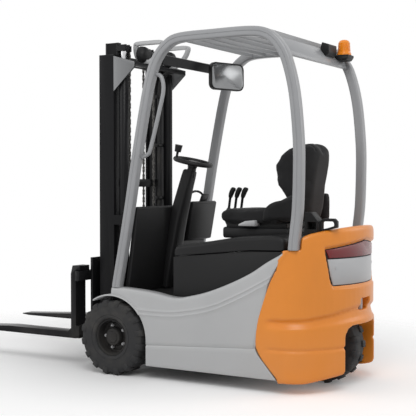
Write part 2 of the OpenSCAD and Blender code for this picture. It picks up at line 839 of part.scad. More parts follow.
// Outer mast: channel rails, feet on the axle, side plates and three cross bars behind the lift cylinders
module outer_mast() {
    back = barrel_x - 60;
    color([0.09, 0.09, 0.10]) {
        both() {
            difference() {
                block([rail_x, mast_half - 52, 95], [rail_x1, mast_half, mast_top]);
                block([rail_x + 16, mast_half - 60, 90], [rail_x1 - 16, mast_half - 14, mast_top + 5]);
            }
            difference() {
                slab(mast_half - 52, mast_half)
                    polygon([[rail_x, axle_z - 78], [-20, axle_z - 68], [-62, axle_z - 28], [-62, axle_z + 34],
                        [-20, axle_z + 72], [barrel_x - 36, barrel_low - 0.3], [rail_x, barrel_low - 0.3]]);
                bar_y(axle_r + 0.05, 0, mast_half + 20, 0, axle_z);
            }
            for (z = [[400, 475], [900, 960]])
                block([back, mast_half - 12, z[0]], [rail_x, mast_half, z[1]]);
            slab(mast_half - 12, mast_half)
                polygon([[rail_x, mast_top - 230], [-44, mast_top - 84], [-44, mast_top - 55], [rail_x, mast_top - 10]]);
            for (y = [98, 132])
                slab(y, y + 10)
                    polygon([[back + 2, 402], [back + 2, 468], [-30, 460], [-46, 435], [-30, 412]]);
            block([back + 18, chain_y - 14, anchor_z - 36], [rail_x - 4, chain_y + 14, anchor_z - 0.3]);
            bar_y(11.9, 100, 140, tilt_eye[0], tilt_eye[1]);
        }
        for (z = [[400, 470], [900, 960]])
            block([back, -mast_half + 12, z[0]], [back + 20, mast_half - 12, z[1]]);
        block([-44, -mast_half + 12, mast_top - 82], [-24, mast_half - 12, mast_top - 56]);
    }
}

// Lift cylinder barrels behind the rails
module lift_barrels() {
    color([0.12, 0.12, 0.13])
        both()
            translate([barrel_x, barrel_y, 0])
                difference() {
                    translate([0, 0, barrel_low])
                        cylinder(r = 30, h = barrel_top - barrel_low);
                    translate([0, 0, barrel_low + 17])
                        cylinder(r = 21, h = barrel_top - barrel_low - 57);
                    translate([0, 0, barrel_top - 80])
                        cylinder(r = rod_r + 0.05, h = 100);
                }
}

// Work lamps in their loop brackets at the top of the mast
module mast_lamps() {
    color([0.62, 0.63, 0.65])
        both()
            translate([0, 0, mast_top]) {
                slab(lamp_y - 6, lamp_y + 6)
                    difference() {
                        polygon(concat([[-44, -55.7], [-24, -55.7]], curve([[-10, -50], [34, -20], [50, 20],
                            [52, 72], [36, 90], [-60, 92], [-148, 90], [-166, 72], [-140, 20], [-96, -30],
                            [-60, -50]], 3)));
                        polygon(curve([[0, -28], [28, -6], [36, 24], [36, 62], [26, 76], [-60, 78], [-136, 76],
                            [-146, 64], [-126, 20], [-88, -18], [-50, -36], [0, -28]], 3));
                    }
                bar_x_axis(56, -40, 10, lamp_y, 2);
            }
}

// Inner mast: beam rails, cross bars, pulleys in their cheeks and the arms onto the lift rods
module inner_mast() {
    y1 = mast_half - 57;
    color([0.11, 0.11, 0.12]) {
        both() {
            difference() {
                block([rail_x + 7, y1 - 34, 120 + lift_rest], [rail_x1 - 7, y1, inner_top]);
                block([rail_x + 20, y1 - 40, 0], [rail_x1 - 20, y1 - 16, inner_top + 5]);
                block([rail_x + 20, y1 - 4, 0], [rail_x1 - 20, y1 + 5, inner_top + 5]);
            }
            block([rail_x - 15, y1 - 38, inner_top - 60], [rail_x + 19, y1 - 2, inner_top - 25]);
            block([barrel_x - 24, y1 - 38, inner_top - 60], [rail_x - 5, barrel_y + 24, inner_top - 25]);
            for (y = [chain_y - 22, chain_y + 14])
                block([rail_x + 3, y, inner_top - 138], [rail_x + 50, y + 8, inner_top]);
            bar_y(pulley_r - 5, chain_y - 14, chain_y + 14, pulley_x, pulley_z);
            bar_y(rail_d / 2 - 16.5, y1 - 17, mast_half - 16, rail_x + rail_d / 2, 170 + lift_rest);
        }
        block([rail_x + 3, -y1 + 4, inner_top - 140], [rail_x + 19, y1 - 4, inner_top - 82]);
        block([rail_x + 3, -y1 + 4, 120 + lift_rest], [rail_x + 19, y1 - 4, 175 + lift_rest]);
        block([rail_x + 3, -y1 + 4, 1050 + lift_rest], [rail_x + 19, y1 - 4, 1100 + lift_rest]);
    }
}

// Lift cylinder rods, standing in the barrels
module lift_rods() {
    color([0.75, 0.76, 0.78])
        both()
            translate([barrel_x, barrel_y, rod_low])
                cylinder(r = rod_r, h = inner_top - 60 - rod_low);
}

// The edge of a leaf chain with n links from a height upwards
function chain_edge(n, z, pitch, half) = concat(
    [for (i = [0 : n - 1], k = [0 : 3]) [half * [0.7, 1, 1, 0.7][k], z + pitch * (i + [0, 0.25, 0.75, 1][k])]],
    [for (i = [n - 1 : -1 : 0], k = [3 : -1 : 0]) [-half * [0.7, 1, 1, 0.7][k],
        z + pitch * (i + [0, 0.25, 0.75, 1][k])]]);

// Front chain runs, from the carriage up to the pulleys
module chain_front() {
    color([0.30, 0.30, 0.31])
        both()
            slab(chain_y - 9, chain_y + 9)
                translate([pulley_x + pulley_r, 0])
                    polygon(chain_edge(front_links, chain_low, (pulley_z - chain_low) / front_links, 5));
}

// Back chain runs, from the outer mast's middle bar up to the pulleys
module chain_back() {
    color([0.30, 0.30, 0.31])
        both()
            slab(chain_y - 9, chain_y + 9)
                translate([pulley_x - pulley_r, 0])
                    polygon(chain_edge(back_links, anchor_z, (pulley_z - anchor_z) / back_links, 5));
}

// Carriage: two bars, side plates, rollers and the chain anchors' cross bar
module carriage() {
    y1 = mast_half - 117;
    bar_half = fork_y + fork_w / 2 + 12;
    color([0.09, 0.09, 0.10]) {
        for (z = [bar_low, bar_high - 62])
            block([bar_x - 32, -bar_half, z], [bar_x, bar_half, z + 62]);
        both() {
            block([bar_x - 50, y1 - 13, bar_low], [bar_x - 32, y1 + 102, bar_high + 80]);
            slab(y1 - 14, y1)
                polygon([[rail_x + 35, bar_low + 110], [rail_x + 35, bar_low + 420], [bar_x - 50, bar_low + 440],
                    [bar_x - 50, bar_low + 90]]);
            for (z = [145, 375])
                bar_y(rail_d / 2 - 20.5, y1, y1 + 40, rail_x + rail_d / 2, bar_low + z);
        }
        block([rail_x + 53, -y1, chain_low - 52], [rail_x + 91, y1, chain_low]);
    }
}

// A fork with its hooks over the carriage bars, on the left
module fork() {
    slab(fork_y - fork_w / 2, fork_y + fork_w / 2)
        polygon([[fork_face - fork_t, fork_low], [fork_face + fork_len - 60, fork_low],
            [fork_face + fork_len, fork_low + 6], [fork_face + fork_len, fork_low + 12],
            [fork_face + 520, fork_low + fork_t], [fork_face + 24, fork_low + fork_t],
            [fork_face, fork_low + fork_t + 24], [fork_face, bar_high - 20], [fork_face - 14, bar_high + 33],
            [bar_x - 29, bar_high + 33], [bar_x - 29, bar_high + 0.3], [fork_face - fork_t, bar_high + 0.3],
            [fork_face - fork_t, bar_low - 3], [bar_x - 25, bar_low - 3], [bar_x - 25, fork_low + 2],
            [fork_face - fork_t, fork_low + 2]]);
}

module fork_left() {
    color([0.10, 0.10, 0.10])
        fork();
}

module fork_right() {
    color([0.10, 0.10, 0.10])
        mirror([0, 1, 0])
            fork();
}

// Tilt cylinder barrels, pinned to the chassis
module tilt_barrels() {
    color([0.12, 0.12, 0.13])
        both()
            translate([tilt_foot[0], tilt_y, tilt_foot[1]])
                rotate([0, -tilt_pitch, 0]) {
                    bar_y(13.9, -24, 24, 0, 0);
                    bar_y(22, -11, 11, 0, 0);
                    bar_x_axis(10, 0, 50, 0, 0);
                    difference() {
                        bar_x_axis(27, 34, 215, 0, 0);
                        bar_x_axis(18, 50, 190, 0, 0);
                        bar_x_axis(16.05, 180, 230, 0, 0);
                    }
                }
}

// Tilt cylinder rods, with their eyes on the mast's pins
module tilt_rods() {
    color([0.75, 0.76, 0.78])
        both()
            translate([tilt_foot[0], tilt_y, tilt_foot[1]])
                rotate([0, -tilt_pitch, 0])
                    difference() {
                        union() {
                            bar_x_axis(16, 80, tilt_span - 46, 0, 0);
                            bar_x_axis(10, tilt_span - 50, tilt_span - 10, 0, 0);
                            bar_y(22, -11, 11, tilt_span, 0);
                        }
                        bar_y(13, -30, 30, tilt_span, 0);
                    }
}

translate([-origin_x, 0, 0]) {
    chassis_frame();
    front_axle();
    side_panel_left();
    side_panel_right();
    floor_plate();
    dash();
    steering_column();
    battery();
    battery_covers();
    counterweight();
    tail_plate();
    tail_lamp();
    tow_pin();
    battery_plug();
    guard_left();
    guard_right();
    roof_front_beam();
    roof();
    mirror_housing();
    mirror_glass();
    beacon_base();
    beacon_lens();
    hood_lid();
    seat_base();
    seat_cushion();
    seat_back();
    lever_console();
    steering_wheel();
    drive_turret();
    drive_tyre();
    drive_rim();
    front_tyre_left();
    front_rim_left();
    front_tyre_right();
    front_rim_right();
    outer_mast();
    lift_barrels();
    mast_lamps();
    inner_mast();
    lift_rods();
    chain_front();
    chain_back();
    carriage();
    fork_left();
    fork_right();
    tilt_barrels();
    tilt_rods();
}
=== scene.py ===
import json
import math

import bmesh
import bpy
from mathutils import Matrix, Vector
from mathutils.kdtree import KDTree


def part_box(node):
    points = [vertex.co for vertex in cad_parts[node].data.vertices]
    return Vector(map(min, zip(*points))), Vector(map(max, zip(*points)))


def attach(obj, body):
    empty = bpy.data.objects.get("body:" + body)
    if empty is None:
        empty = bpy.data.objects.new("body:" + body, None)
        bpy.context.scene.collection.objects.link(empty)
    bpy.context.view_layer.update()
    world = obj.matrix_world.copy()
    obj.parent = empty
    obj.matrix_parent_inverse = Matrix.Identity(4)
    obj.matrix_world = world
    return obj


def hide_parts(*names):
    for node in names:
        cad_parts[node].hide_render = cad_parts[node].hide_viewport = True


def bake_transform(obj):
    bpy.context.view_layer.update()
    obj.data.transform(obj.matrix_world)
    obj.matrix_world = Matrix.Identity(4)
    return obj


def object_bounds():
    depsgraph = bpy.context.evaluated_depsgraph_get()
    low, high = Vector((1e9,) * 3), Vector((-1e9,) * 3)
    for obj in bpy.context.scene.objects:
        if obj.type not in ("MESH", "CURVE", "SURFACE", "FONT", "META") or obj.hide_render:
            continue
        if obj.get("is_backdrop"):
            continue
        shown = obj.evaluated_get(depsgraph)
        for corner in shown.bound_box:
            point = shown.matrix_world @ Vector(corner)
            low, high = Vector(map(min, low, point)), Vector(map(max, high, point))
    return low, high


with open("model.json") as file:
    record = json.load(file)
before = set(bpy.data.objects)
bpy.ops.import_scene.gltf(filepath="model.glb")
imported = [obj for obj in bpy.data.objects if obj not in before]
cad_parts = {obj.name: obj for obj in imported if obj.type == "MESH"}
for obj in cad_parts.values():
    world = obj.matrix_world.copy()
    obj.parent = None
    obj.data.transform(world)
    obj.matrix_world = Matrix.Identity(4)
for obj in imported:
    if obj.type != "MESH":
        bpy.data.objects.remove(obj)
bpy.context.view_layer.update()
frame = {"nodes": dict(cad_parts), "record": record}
record = frame["record"]
scene = bpy.context.scene

# Camera and studio: a long lens at eye height behind the truck's left rear corner, and a pale floor that
# keeps the shadow, with painted shade added round the truck. Three soft boxes light it: a strong one
# overhead on the camera's side, and weaker ones in front and behind.
camera_data = bpy.data.cameras.new("camera")
camera = bpy.data.objects.new("camera", camera_data)
scene.collection.objects.link(camera)
camera.location = (-3.4465, 5.188, 1.165)
camera.rotation_euler = (math.radians(90 - 1.683), 0, math.radians(-59.728 - 90))
camera_data.lens = 83.71
camera_data.sensor_width = 36
camera_data.shift_x = -0.0192
camera_data.shift_y = 0.0062
scene.camera = camera
scene.view_settings.view_transform = "Standard"

for light, place, aim, size, watts in (
    ("key_light", (-2.6, 3.4, 4.6), (-0.5, 0, 0.8), 2.6, 110),
    ("front_light", (3.6, 3.2, 3.2), (0, 0, 1), 2.6, 40),
    ("rear_light", (-4.2, -2.6, 2.6), (-0.6, 0, 0.9), 2.4, 34),
):
    lamp = bpy.data.lights.new(light, "AREA")
    lamp.energy = watts
    lamp.size = size
    lamp_object = bpy.data.objects.new(light, lamp)
    scene.collection.objects.link(lamp_object)
    lamp_object.location = place
    lamp_object.rotation_euler = (Vector(aim) - Vector(place)).to_track_quat("-Z", "Y").to_euler()


class Wire:
    """A shader socket in an expression: each operator adds the Math node that it stands for."""

    def __init__(self, finish, socket):
        self.finish = finish
        self.socket = socket

    def maths(self, operation, *values):
        return self.finish.node("ShaderNodeMath", {"operation": operation}, *values)

    def __add__(self, other):
        return self.maths("ADD", self, other)

    __radd__ = __add__

    def __rsub__(self, other):
        return self.maths("SUBTRACT", other, self)

    def __mul__(self, other):
        return self.maths("MULTIPLY", self, other)

    __rmul__ = __mul__

    def between(self, low, high):
        return self.finish.node("ShaderNodeMapRange", {"interpolation_type": "SMOOTHSTEP"}, self, low, high)


class Finish:
    """A node material with one shader, whose nodes all come from the method node."""

    def __init__(self, name, shader="ShaderNodeBsdfPrincipled", tree=None):
        if tree is None:
            self.material = bpy.data.materials.new(name)
            self.material.use_nodes = True
            tree = self.material.node_tree
        self.tree = tree
        self.tree.nodes.clear()
        kind = "ShaderNodeOutputWorld" if shader == "ShaderNodeBackground" else "ShaderNodeOutputMaterial"
        self.shader = self.tree.nodes.new(shader)
        self.out = self.tree.nodes.new(kind)
        self.tree.links.new(self.shader.outputs[0], self.out.inputs["Surface"])

    def node(self, kind, settings, *values, out=0, **named):
        made = self.tree.nodes.new(kind)
        for key, value in settings.items():
            setattr(made, key, value)
        for spot, value in list(enumerate(values)) + list(named.items()):
            self.put(made.inputs[spot], value)
        return Wire(self, made.outputs[out])

    def put(self, socket, value):
        if isinstance(value, Wire):
            self.tree.links.new(value.socket, socket)
        elif value is not None:
            socket.default_value = value

    def set(self, **sockets):
        for name, value in sockets.items():
            self.put(self.shader.inputs[name.replace("_", " ")], value)

    def place(self):
        return self.node("ShaderNodeTexCoord", {}, out=3)

    def noise(self, scale, detail):
        return self.node("ShaderNodeTexNoise", {}, Vector=self.place(), Scale=scale, Detail=detail)

    def tint(self, factor, first, second):
        return self.node("ShaderNodeMix", {"data_type": "RGBA"}, factor, None, None, None, None, None,
                         first, second, out=2)

    def bump(self, height, strength, distance):
        self.set(Normal=self.node("ShaderNodeBump", {}, Strength=strength, Distance=distance, Height=height))

    def height_up(self):
        return self.node("ShaderNodeSeparateXYZ", {}, self.place(), out=2)


world = scene.world or bpy.data.worlds.new("studio")
scene.world = world
world.use_nodes = True
sky = Finish("studio", "ShaderNodeBackground", world.node_tree)
SKY_LIGHT = 0.50
seen = sky.node("ShaderNodeLightPath", {})
through = Wire(sky, seen.socket.node.outputs["Is Transmission Ray"])
glossy = Wire(sky, seen.socket.node.outputs["Is Glossy Ray"])
white_rays = seen.maths("MAXIMUM", seen, through + glossy)
sky.set(Color=(1, 1, 1, 1), Strength=SKY_LIGHT + (1 - SKY_LIGHT) * white_rays)

bpy.ops.object.select_all(action="DESELECT")
bpy.ops.mesh.primitive_plane_add(size=12)
floor = bpy.context.object
floor.name = "floor"
floor_finish = Finish("pale_floor")
spread = floor_finish.node("ShaderNodeVectorMath", {"operation": "LENGTH"}, floor_finish.place(), out=1)
near_camera = floor_finish.node("ShaderNodeLightPath", {})
# Seen by the camera the floor glows a little, but not within 0.45 m of the middle, and fully only past 1.4 m:
# painted shadow that darkens the floor under and round the truck.
floor_finish.set(Base_Color=(0.97, 0.97, 0.97, 1), Roughness=0.9, Alpha=1 - spread.between(1.5, 3.0),
                 Emission_Color=floor_finish.tint(near_camera * spread.between(0.45, 1.4), (0, 0, 0, 1),
                                                  (0.14, 0.14, 0.14, 1)),
                 Emission_Strength=1.0)
floor.data.materials.append(floor_finish.material)
floor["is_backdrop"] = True

# Chassis: welded plate in matt black, with the front axle beam and the drive wheel's turret. The plates
# keep their forms from the solids, and their edges are broken as a grinder leaves them before painting.
body_of = {node: body for body, nodes in record["behaviour"]["bodies"].items() for node in nodes}
slot_of = {part["node"]: part["material_slot"] for part in record["subparts"]}


def satin_paint(name, colour, rough, dust=0.0, peel=0.0006, shine=0.5):
    """Sprayed paint: a slight change of tone, orange peel and dust low down."""
    paint = Finish(name)
    cloud = paint.noise(3.0, 5.0)
    fine = paint.noise(420.0, 2.0)
    dark = [channel * 0.86 for channel in colour] + [1]
    light = [min(1, channel * 1.10) for channel in colour] + [1]
    shade = paint.tint(cloud, dark, light)
    if dust:
        low = (1 - paint.height_up().between(0.02, 0.5)) * cloud.between(0.35, 0.75) * dust
        shade = paint.tint(low, shade, (0.20, 0.185, 0.165, 1))
    paint.set(Base_Color=shade, Roughness=rough - 0.06 + 0.12 * cloud, Specular_IOR_Level=shine)
    paint.bump(fine, 0.25, peel)
    return paint.material


def finish_piece(piece, finish, body, slot, *nodes):
    """Gives the piece its material and body, and hides the solids that it stands for. The slot is not used.
    """
    piece.data.materials.clear()
    piece.data.materials.append(finish)
    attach(piece, body)
    if nodes:
        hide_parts(*nodes)


def pick(piece):
    """Makes the piece the active object, and the only one that is selected."""
    bpy.ops.object.select_all(action="DESELECT")
    piece.select_set(True)
    bpy.context.view_layer.objects.active = piece


def broken_edges(node, finish, width, segments=2, angle=32):
    """A copy of a solid with its edges rounded, in place of it."""
    piece = frame["nodes"][node].copy()
    piece.data = piece.data.copy()
    piece.parent = None
    piece.name = node + "_piece"
    scene.collection.objects.link(piece)
    piece.hide_render = False
    pick(piece)
    bpy.ops.object.mode_set(mode="EDIT")
    bpy.ops.mesh.select_all(action="SELECT")
    bpy.ops.mesh.remove_doubles(threshold=0.00005)
    bpy.ops.mesh.dissolve_limited(angle_limit=math.radians(1.0))
    bpy.ops.object.mode_set(mode="OBJECT")
    bpy.ops.object.modifier_add(type="BEVEL")
    bevel = piece.modifiers[-1]
    bevel.width = width
    bevel.segments = segments
    bevel.angle_limit = math.radians(angle)
    bevel.harden_normals = True
    bpy.ops.object.modifier_apply(modifier=bevel.name)
    bpy.ops.object.shade_smooth_by_angle(angle=math.radians(angle))
    finish_piece(piece, finish, body_of[node], slot_of[node], node)
    return piece


frame_black = satin_paint("frame_black", (0.014, 0.014, 0.015), 0.58, dust=0.4, shine=0.16)
for node in ("chassis_frame", "front_axle", "drive_turret"):
    broken_edges(node, frame_black, 0.003)

# Mast, carriage and forks: channel rails, bars and forged blades in satin black, with ground edges. The
# lift and tilt cylinders have black barrels, and rods of hard chrome that slide in them.
black_steel = satin_paint("black_steel", (0.0115, 0.0115, 0.0125), 0.30, dust=0.2, shine=0.13)
for node in ("outer_mast", "inner_mast", "carriage", "fork_left", "fork_right", "lift_barrels",
             "tilt_barrels"):
    broken_edges(node, black_steel, 0.0025)
chrome = Finish("chrome_rod")
smear = chrome.noise(30.0, 4.0)
chrome.set(Base_Color=chrome.tint(smear, (0.50, 0.50, 0.51, 1), (0.68, 0.68, 0.69, 1)), Metallic=1.0,
           Roughness=0.10 + 0.14 * smear)
for node in ("lift_rods", "tilt_rods"):
    broken_edges(node, chrome.material, 0.001, 1)

# Cab floor, dash and covers: moulded black plastic with a fine grain, screwed to the chassis round the
# battery. The battery stands in its bay under the hood, and its plug sits behind the seat.
black_plastic = satin_paint("black_plastic", (0.0135, 0.0135, 0.014), 0.46, peel=0.0016, shine=0.2)
for node in ("floor_plate", "battery_covers", "battery_plug", "battery"):
    broken_edges(node, black_plastic, 0.004)
broken_edges("dash", black_plastic, 0.009, 4)

# Side panels: pressed steel sheet in light grey paint, bolted over the sill, with two fine ridges that
# follow the step's sweep, one straight groove low down, a rounded top edge and the fender's strip over
# the front tyre.
body_grey = satin_paint("body_grey", (0.455, 0.46, 0.465), 0.34, dust=0.2)
axle = (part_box("front_tyre_left")[0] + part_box("front_tyre_left")[1]) / 2
WHEELBASE = 1.190
PANEL_OUT = 0.482
PANEL_IN = 0.4125
PANEL_FRONT = 0.005
ARCH_R = 0.2505


def smooth_line(points, steps):
    """A smooth line through the points, with some steps from each one to the next."""
    line = []
    for i in range(len(points) - 1):
        a, b, c, d = (Vector(points[max(0, min(len(points) - 1, i + k))]) for k in (-1, 0, 1, 2))
        for step in range(steps):
            t = step / steps
            line.append((2 * b + (c - a) * t + (2 * a - 5 * b + 4 * c - d) * t * t
                         + (3 * b - a - 3 * c + d) * t ** 3) / 2)
    return line + [Vector(points[-1])]


def along(table, x):
    """The value at x on a line through (x, value) points, which may run either way."""
    table = sorted((point[0], point[1]) for point in table)
    if x <= table[0][0]:
        return table[0][1]
    for (x0, v0), (x1, v1) in zip(table, table[1:]):
        if x <= x1:
            return v0 + (v1 - v0) * (x - x0) / max(x1 - x0, 1e-9)
    return table[-1][1]


def trace(name, points, closed=True):
    """An outline drawn by extruding one vertex from point to point. It stays in edit mode, selected."""
    bpy.ops.object.select_all(action="DESELECT")
    bpy.ops.mesh.primitive_plane_add(size=0.01, location=(0, 0, 0))
    piece = bpy.context.object
    piece.name = name
    bpy.ops.object.mode_set(mode="EDIT")
    bpy.ops.mesh.merge(type="CENTER")
    bpy.ops.transform.translate(value=Vector(points[0]))
    for start, end in zip(points, points[1:]):
        bpy.ops.mesh.extrude_vertices_move(TRANSFORM_OT_translate={"value": Vector(end) - Vector(start)})
    bpy.ops.mesh.select_all(action="SELECT")
    if closed:
        ends = bmesh.from_edit_mesh(piece.data)
        ends.edges.new([vertex for vertex in ends.verts if len(vertex.link_edges) == 1]).select = True
        bmesh.update_edit_mesh(piece.data)
    return piece


def nearest(points):
    """A search tree over the points."""
    tree = KDTree(len(points))
    for i, point in enumerate(points):
        tree.insert(point, i)
    tree.balance()
    return tree


def loft(name, loops, closed=True, caps=True):
    """A skin through loops of equal counts: the first is traced, and each next one is extruded and moved."""
    piece = trace(name, loops[0], closed)
    count = len(loops[0])
    old = nearest(loops[0])
    for loop in loops[1:]:
        bpy.ops.mesh.extrude_region_move()
        skin = bmesh.from_edit_mesh(piece.data)
        fresh = [vertex for vertex in skin.verts if vertex.select]
        for vertex in fresh:
            vertex.co = loop[old.find(vertex.co)[1]]
        old = nearest(loop)
        bmesh.update_edit_mesh(piece.data)
    if caps:
        bpy.ops.mesh.edge_face_add()
        skin = bmesh.from_edit_mesh(piece.data)
        bpy.ops.mesh.select_all(action="DESELECT")
        skin.verts.ensure_lookup_table()
        for vertex in skin.verts[:count]:
            vertex.select = True
        skin.select_flush_mode()
        bmesh.update_edit_mesh(piece.data)
        bpy.ops.mesh.edge_face_add()
    bpy.ops.mesh.select_all(action="SELECT")
    bpy.ops.mesh.normals_make_consistent(inside=False)
    bpy.ops.object.mode_set(mode="OBJECT")
    return piece


def modify(piece, kind, **settings):
    """Adds a modifier with these settings and applies it."""
    pick(piece)
    bpy.ops.object.modifier_add(type=kind)
    modifier = piece.modifiers[-1]
    for key, value in settings.items():
        setattr(modifier, key, value)
    bpy.ops.object.modifier_apply(modifier=modifier.name)


def cut(piece, *cutters, solver="EXACT"):
    """Takes the cutters out of the piece and deletes them."""
    for cutter in cutters:
        modify(piece, "BOOLEAN", operation="DIFFERENCE", object=cutter, solver=solver)
        bpy.data.objects.remove(cutter)


def join(first, *others):
    """Makes one object of several, in the first one."""
    bpy.ops.object.select_all(action="DESELECT")
    for piece in (first,) + others:
        piece.select_set(True)
    bpy.context.view_layer.objects.active = first
    bpy.ops.object.join()
    return first


def soften(piece, width, segments=3, angle=30):
    """Rounds the edges that turn more than the angle, and shades the piece smooth between them."""
    modify(piece, "BEVEL", width=width, segments=segments, angle_limit=math.radians(angle),
           harden_normals=True)
    bpy.ops.object.shade_smooth_by_angle(angle=math.radians(angle + 8))


def mirrored(piece, name):
    """A copy of the piece on the truck's other side."""
    twin = piece.copy()
    twin.data = piece.data.copy()
    twin.name = name
    scene.collection.objects.link(twin)
    pick(twin)
    bpy.ops.object.mode_set(mode="EDIT")
    bpy.ops.mesh.select_all(action="SELECT")
    bpy.ops.transform.mirror(constraint_axis=(False, True, False), center_override=(0, 0, 0))
    bpy.ops.mesh.flip_normals()
    bpy.ops.object.mode_set(mode="OBJECT")
    return twin


panel_top = smooth_line([(0.005, 0.531), (-0.060, 0.531), (-0.137, 0.528), (-0.281, 0.516), (-0.441, 0.493),
                         (-0.558, 0.511), (-0.678, 0.544), (-0.821, 0.600), (-0.948, 0.662), (-1.042, 0.722),
                         (-1.125, 0.768), (-1.150, 0.788)], 6)
seam = smooth_line([(-1.172, 0.795), (-1.085, 0.658), (-1.023, 0.517), (-0.9865, 0.393), (-0.9734, 0.290),
                    (-0.9818, 0.240), (-1.0246, 0.174), (-1.104, 0.090), (-1.114, 0.078)], 6)
seam_at = [(point.y, point.x) for point in seam]
sweep_line = smooth_line([(0.01, 0.412), (-0.147, 0.410), (-0.284, 0.407), (-0.458, 0.413), (-0.681, 0.457),
                          (-0.856, 0.530), (-1.026, 0.617), (-1.12, 0.672)], 6)
low_line = [(0.01, 0.186), (-1.12, 0.250)]


def seam_end(height):
    """Where a line along the truck meets the seam: the height is a function of x."""
    x = -1.05
    for step in range(40):
        x += 0.5 * (along(seam_at, height(x)) - x)
    return x


def stroke(line, drop=0.0, raised=0.0):
    """A pressed line in the sheet: rows of (height, face) across it."""
    return [(lambda x, shift=shift: along(line, x) - drop + shift, PANEL_OUT + raised * share)
            for shift, share in ((-0.007, 0), (-0.0035, 0.6), (0, 1), (0.0035, 0.6), (0.007, 0))]


def filled(first, last, count):
    """Rows spread evenly between two rows."""
    return [(lambda x, k=k: first[0](x) + (last[0](x) - first[0](x)) * k / (count + 1),
             first[1] + (last[1] - first[1]) * k / (count + 1)) for k in range(1, count + 1)]


hem = [(lambda x: 0.078, 0.477), (lambda x: 0.081, 0.4808), (lambda x: 0.088, PANEL_OUT)]
shoulder = [(lambda x, below=below: along(panel_top, x) - below, face) for below, face in (
    (0.030, 0.4765), (0.012, 0.4735), (0.005, 0.470), (0.0012, 0.465), (0, 0.458))]
panel_rows = []
for band, count in ((hem, 0), (stroke(low_line, 0, -0.004), 5), (stroke(sweep_line, 0.026, 0.003), 8),
                    (stroke(sweep_line, 0, 0.003), 1), (shoulder, 5)):
    if panel_rows:
        panel_rows += filled(panel_rows[-1], band[0], count)
    panel_rows += band
panel_rows += [(height, PANEL_IN) for height, face in reversed(panel_rows)]
COLUMNS = 70
columns = []
for column in range(COLUMNS + 1):
    loop = []
    for height, face in panel_rows:
        back = seam_end(height)
        x = PANEL_FRONT + (back - PANEL_FRONT) * column / COLUMNS
        loop.append((x + axle.x, face, height(x)))
    columns.append(loop)
panel = loft("side_panel_left_piece", columns)
arch = [(ARCH_R * math.cos(math.radians(a)), ARCH_R * math.sin(math.radians(a))) for a in range(-20, 181, 4)]
arch = [(x + axle.x, 0.30, z + axle.z) for x, z in [(0.30, -0.3), (0.30, 0)] + arch[5:] + [(-ARCH_R, -0.3)]]
arch_cutter = loft("arch_cutter", [arch, [(x, 0.60, z) for x, y, z in arch]])
cut(panel, arch_cutter)
soften(panel, 0.003, 2, 40)
strip = []
for turn in range(58, 146, 2):
    c, n = math.cos(math.radians(turn)), math.sin(math.radians(turn))
    strip.append([(axle.x + r * c, y, axle.z + r * n)
                  for r, y in ((0.2508, 0.308), (0.2612, 0.308), (0.2612, 0.484), (0.2565, 0.490),
                               (0.2508, 0.490))])
fender = loft("fender", strip)
soften(fender, 0.002, 2, 30)
join(panel, fender)
right_panel = mirrored(panel, "side_panel_right_piece")
finish_piece(panel, body_grey, "chassis", "body_grey", "side_panel_left")
finish_piece(right_panel, body_grey, "chassis", "body_grey", "side_panel_right")

# Counterweight: one iron casting round the drive wheel's bay, in orange paint. A proud lower belt ends in
# a ledge under a crease that climbs to the tow jaw, and a recess in the tail takes the strip and the
# plate.
CAST_VOXEL = 0.006
TAIL = -1.450
TAIL_R = 0.600
CORNER_R = 0.250
CAST_HALF = 0.485
tail_middle = TAIL + TAIL_R
corner_y = CAST_HALF - CORNER_R
corner_x = tail_middle - math.sqrt((TAIL_R - CORNER_R) ** 2 - corner_y ** 2)
corner_turn = math.atan2(corner_y, tail_middle - corner_x)
tail_low = [(-1.45, 0.106), (-1.40, 0.094), (-1.25, 0.060), (-1.0, 0.060)]
tail_high = [(-1.45, 0.924), (-1.40, 0.917), (-1.335, 0.903), (-1.263, 0.882), (-1.236, 0.866),
             (-1.205, 0.832), (-1.177, 0.802), (-1.1, 0.790)]
crease = [(-1.45, 0.470), (-1.42, 0.455), (-1.36, 0.428), (-1.27, 0.409), (-1.15, 0.402), (-0.97, 0.398)]
ledge = [(-1.45, 0.398), (-1.42, 0.392), (-1.36, 0.381), (-1.27, 0.372), (-1.15, 0.368), (-0.97, 0.366)]
casting_rows = []
for lift, inset in ((0, 0.030), (0.003, 0.014), (0.010, 0.005), (0.024, 0.000), (0.036, 0.0)):
    casting_rows.append((lambda x, lift=lift: along(tail_low, x) + lift, inset))
for z, inset in ((0.150, 0.0), (0.170, 0.0), (0.190, 0.0), (0.210, 0.0), (0.234, 0.0), (0.241, 0.009),
                 (0.249, 0.009), (0.256, 0.0), (0.280, 0.0), (0.300, 0.0), (0.320, 0.0)):
    casting_rows.append((lambda x, z=z: z, inset))
for lift, inset in ((-0.022, 0.0), (-0.008, 0.001), (0.0, 0.005), (0.006, 0.012)):
    casting_rows.append((lambda x, lift=lift: along(ledge, x) + lift, inset))
for lift, inset in ((-0.005, 0.023), (0.0, 0.029), (0.005, 0.014), (0.016, 0.005)):
    casting_rows.append((lambda x, lift=lift: along(crease, x) + lift, inset))
for share in (0.1, 0.2, 0.3, 0.4, 0.5, 0.6, 0.7, 0.8, 0.9):
    casting_rows.append((lambda x, share=share: (along(crease, x) + 0.022) * (1 - share)
                         + (along(tail_high, x) - 0.05) * share, 0.005))
for drop, inset in ((0.050, 0.005), (0.024, 0.0065), (0.010, 0.012), (0.003, 0.021), (0.0, 0.036)):
    casting_rows.append((lambda x, drop=drop: along(tail_high, x) - drop, inset))


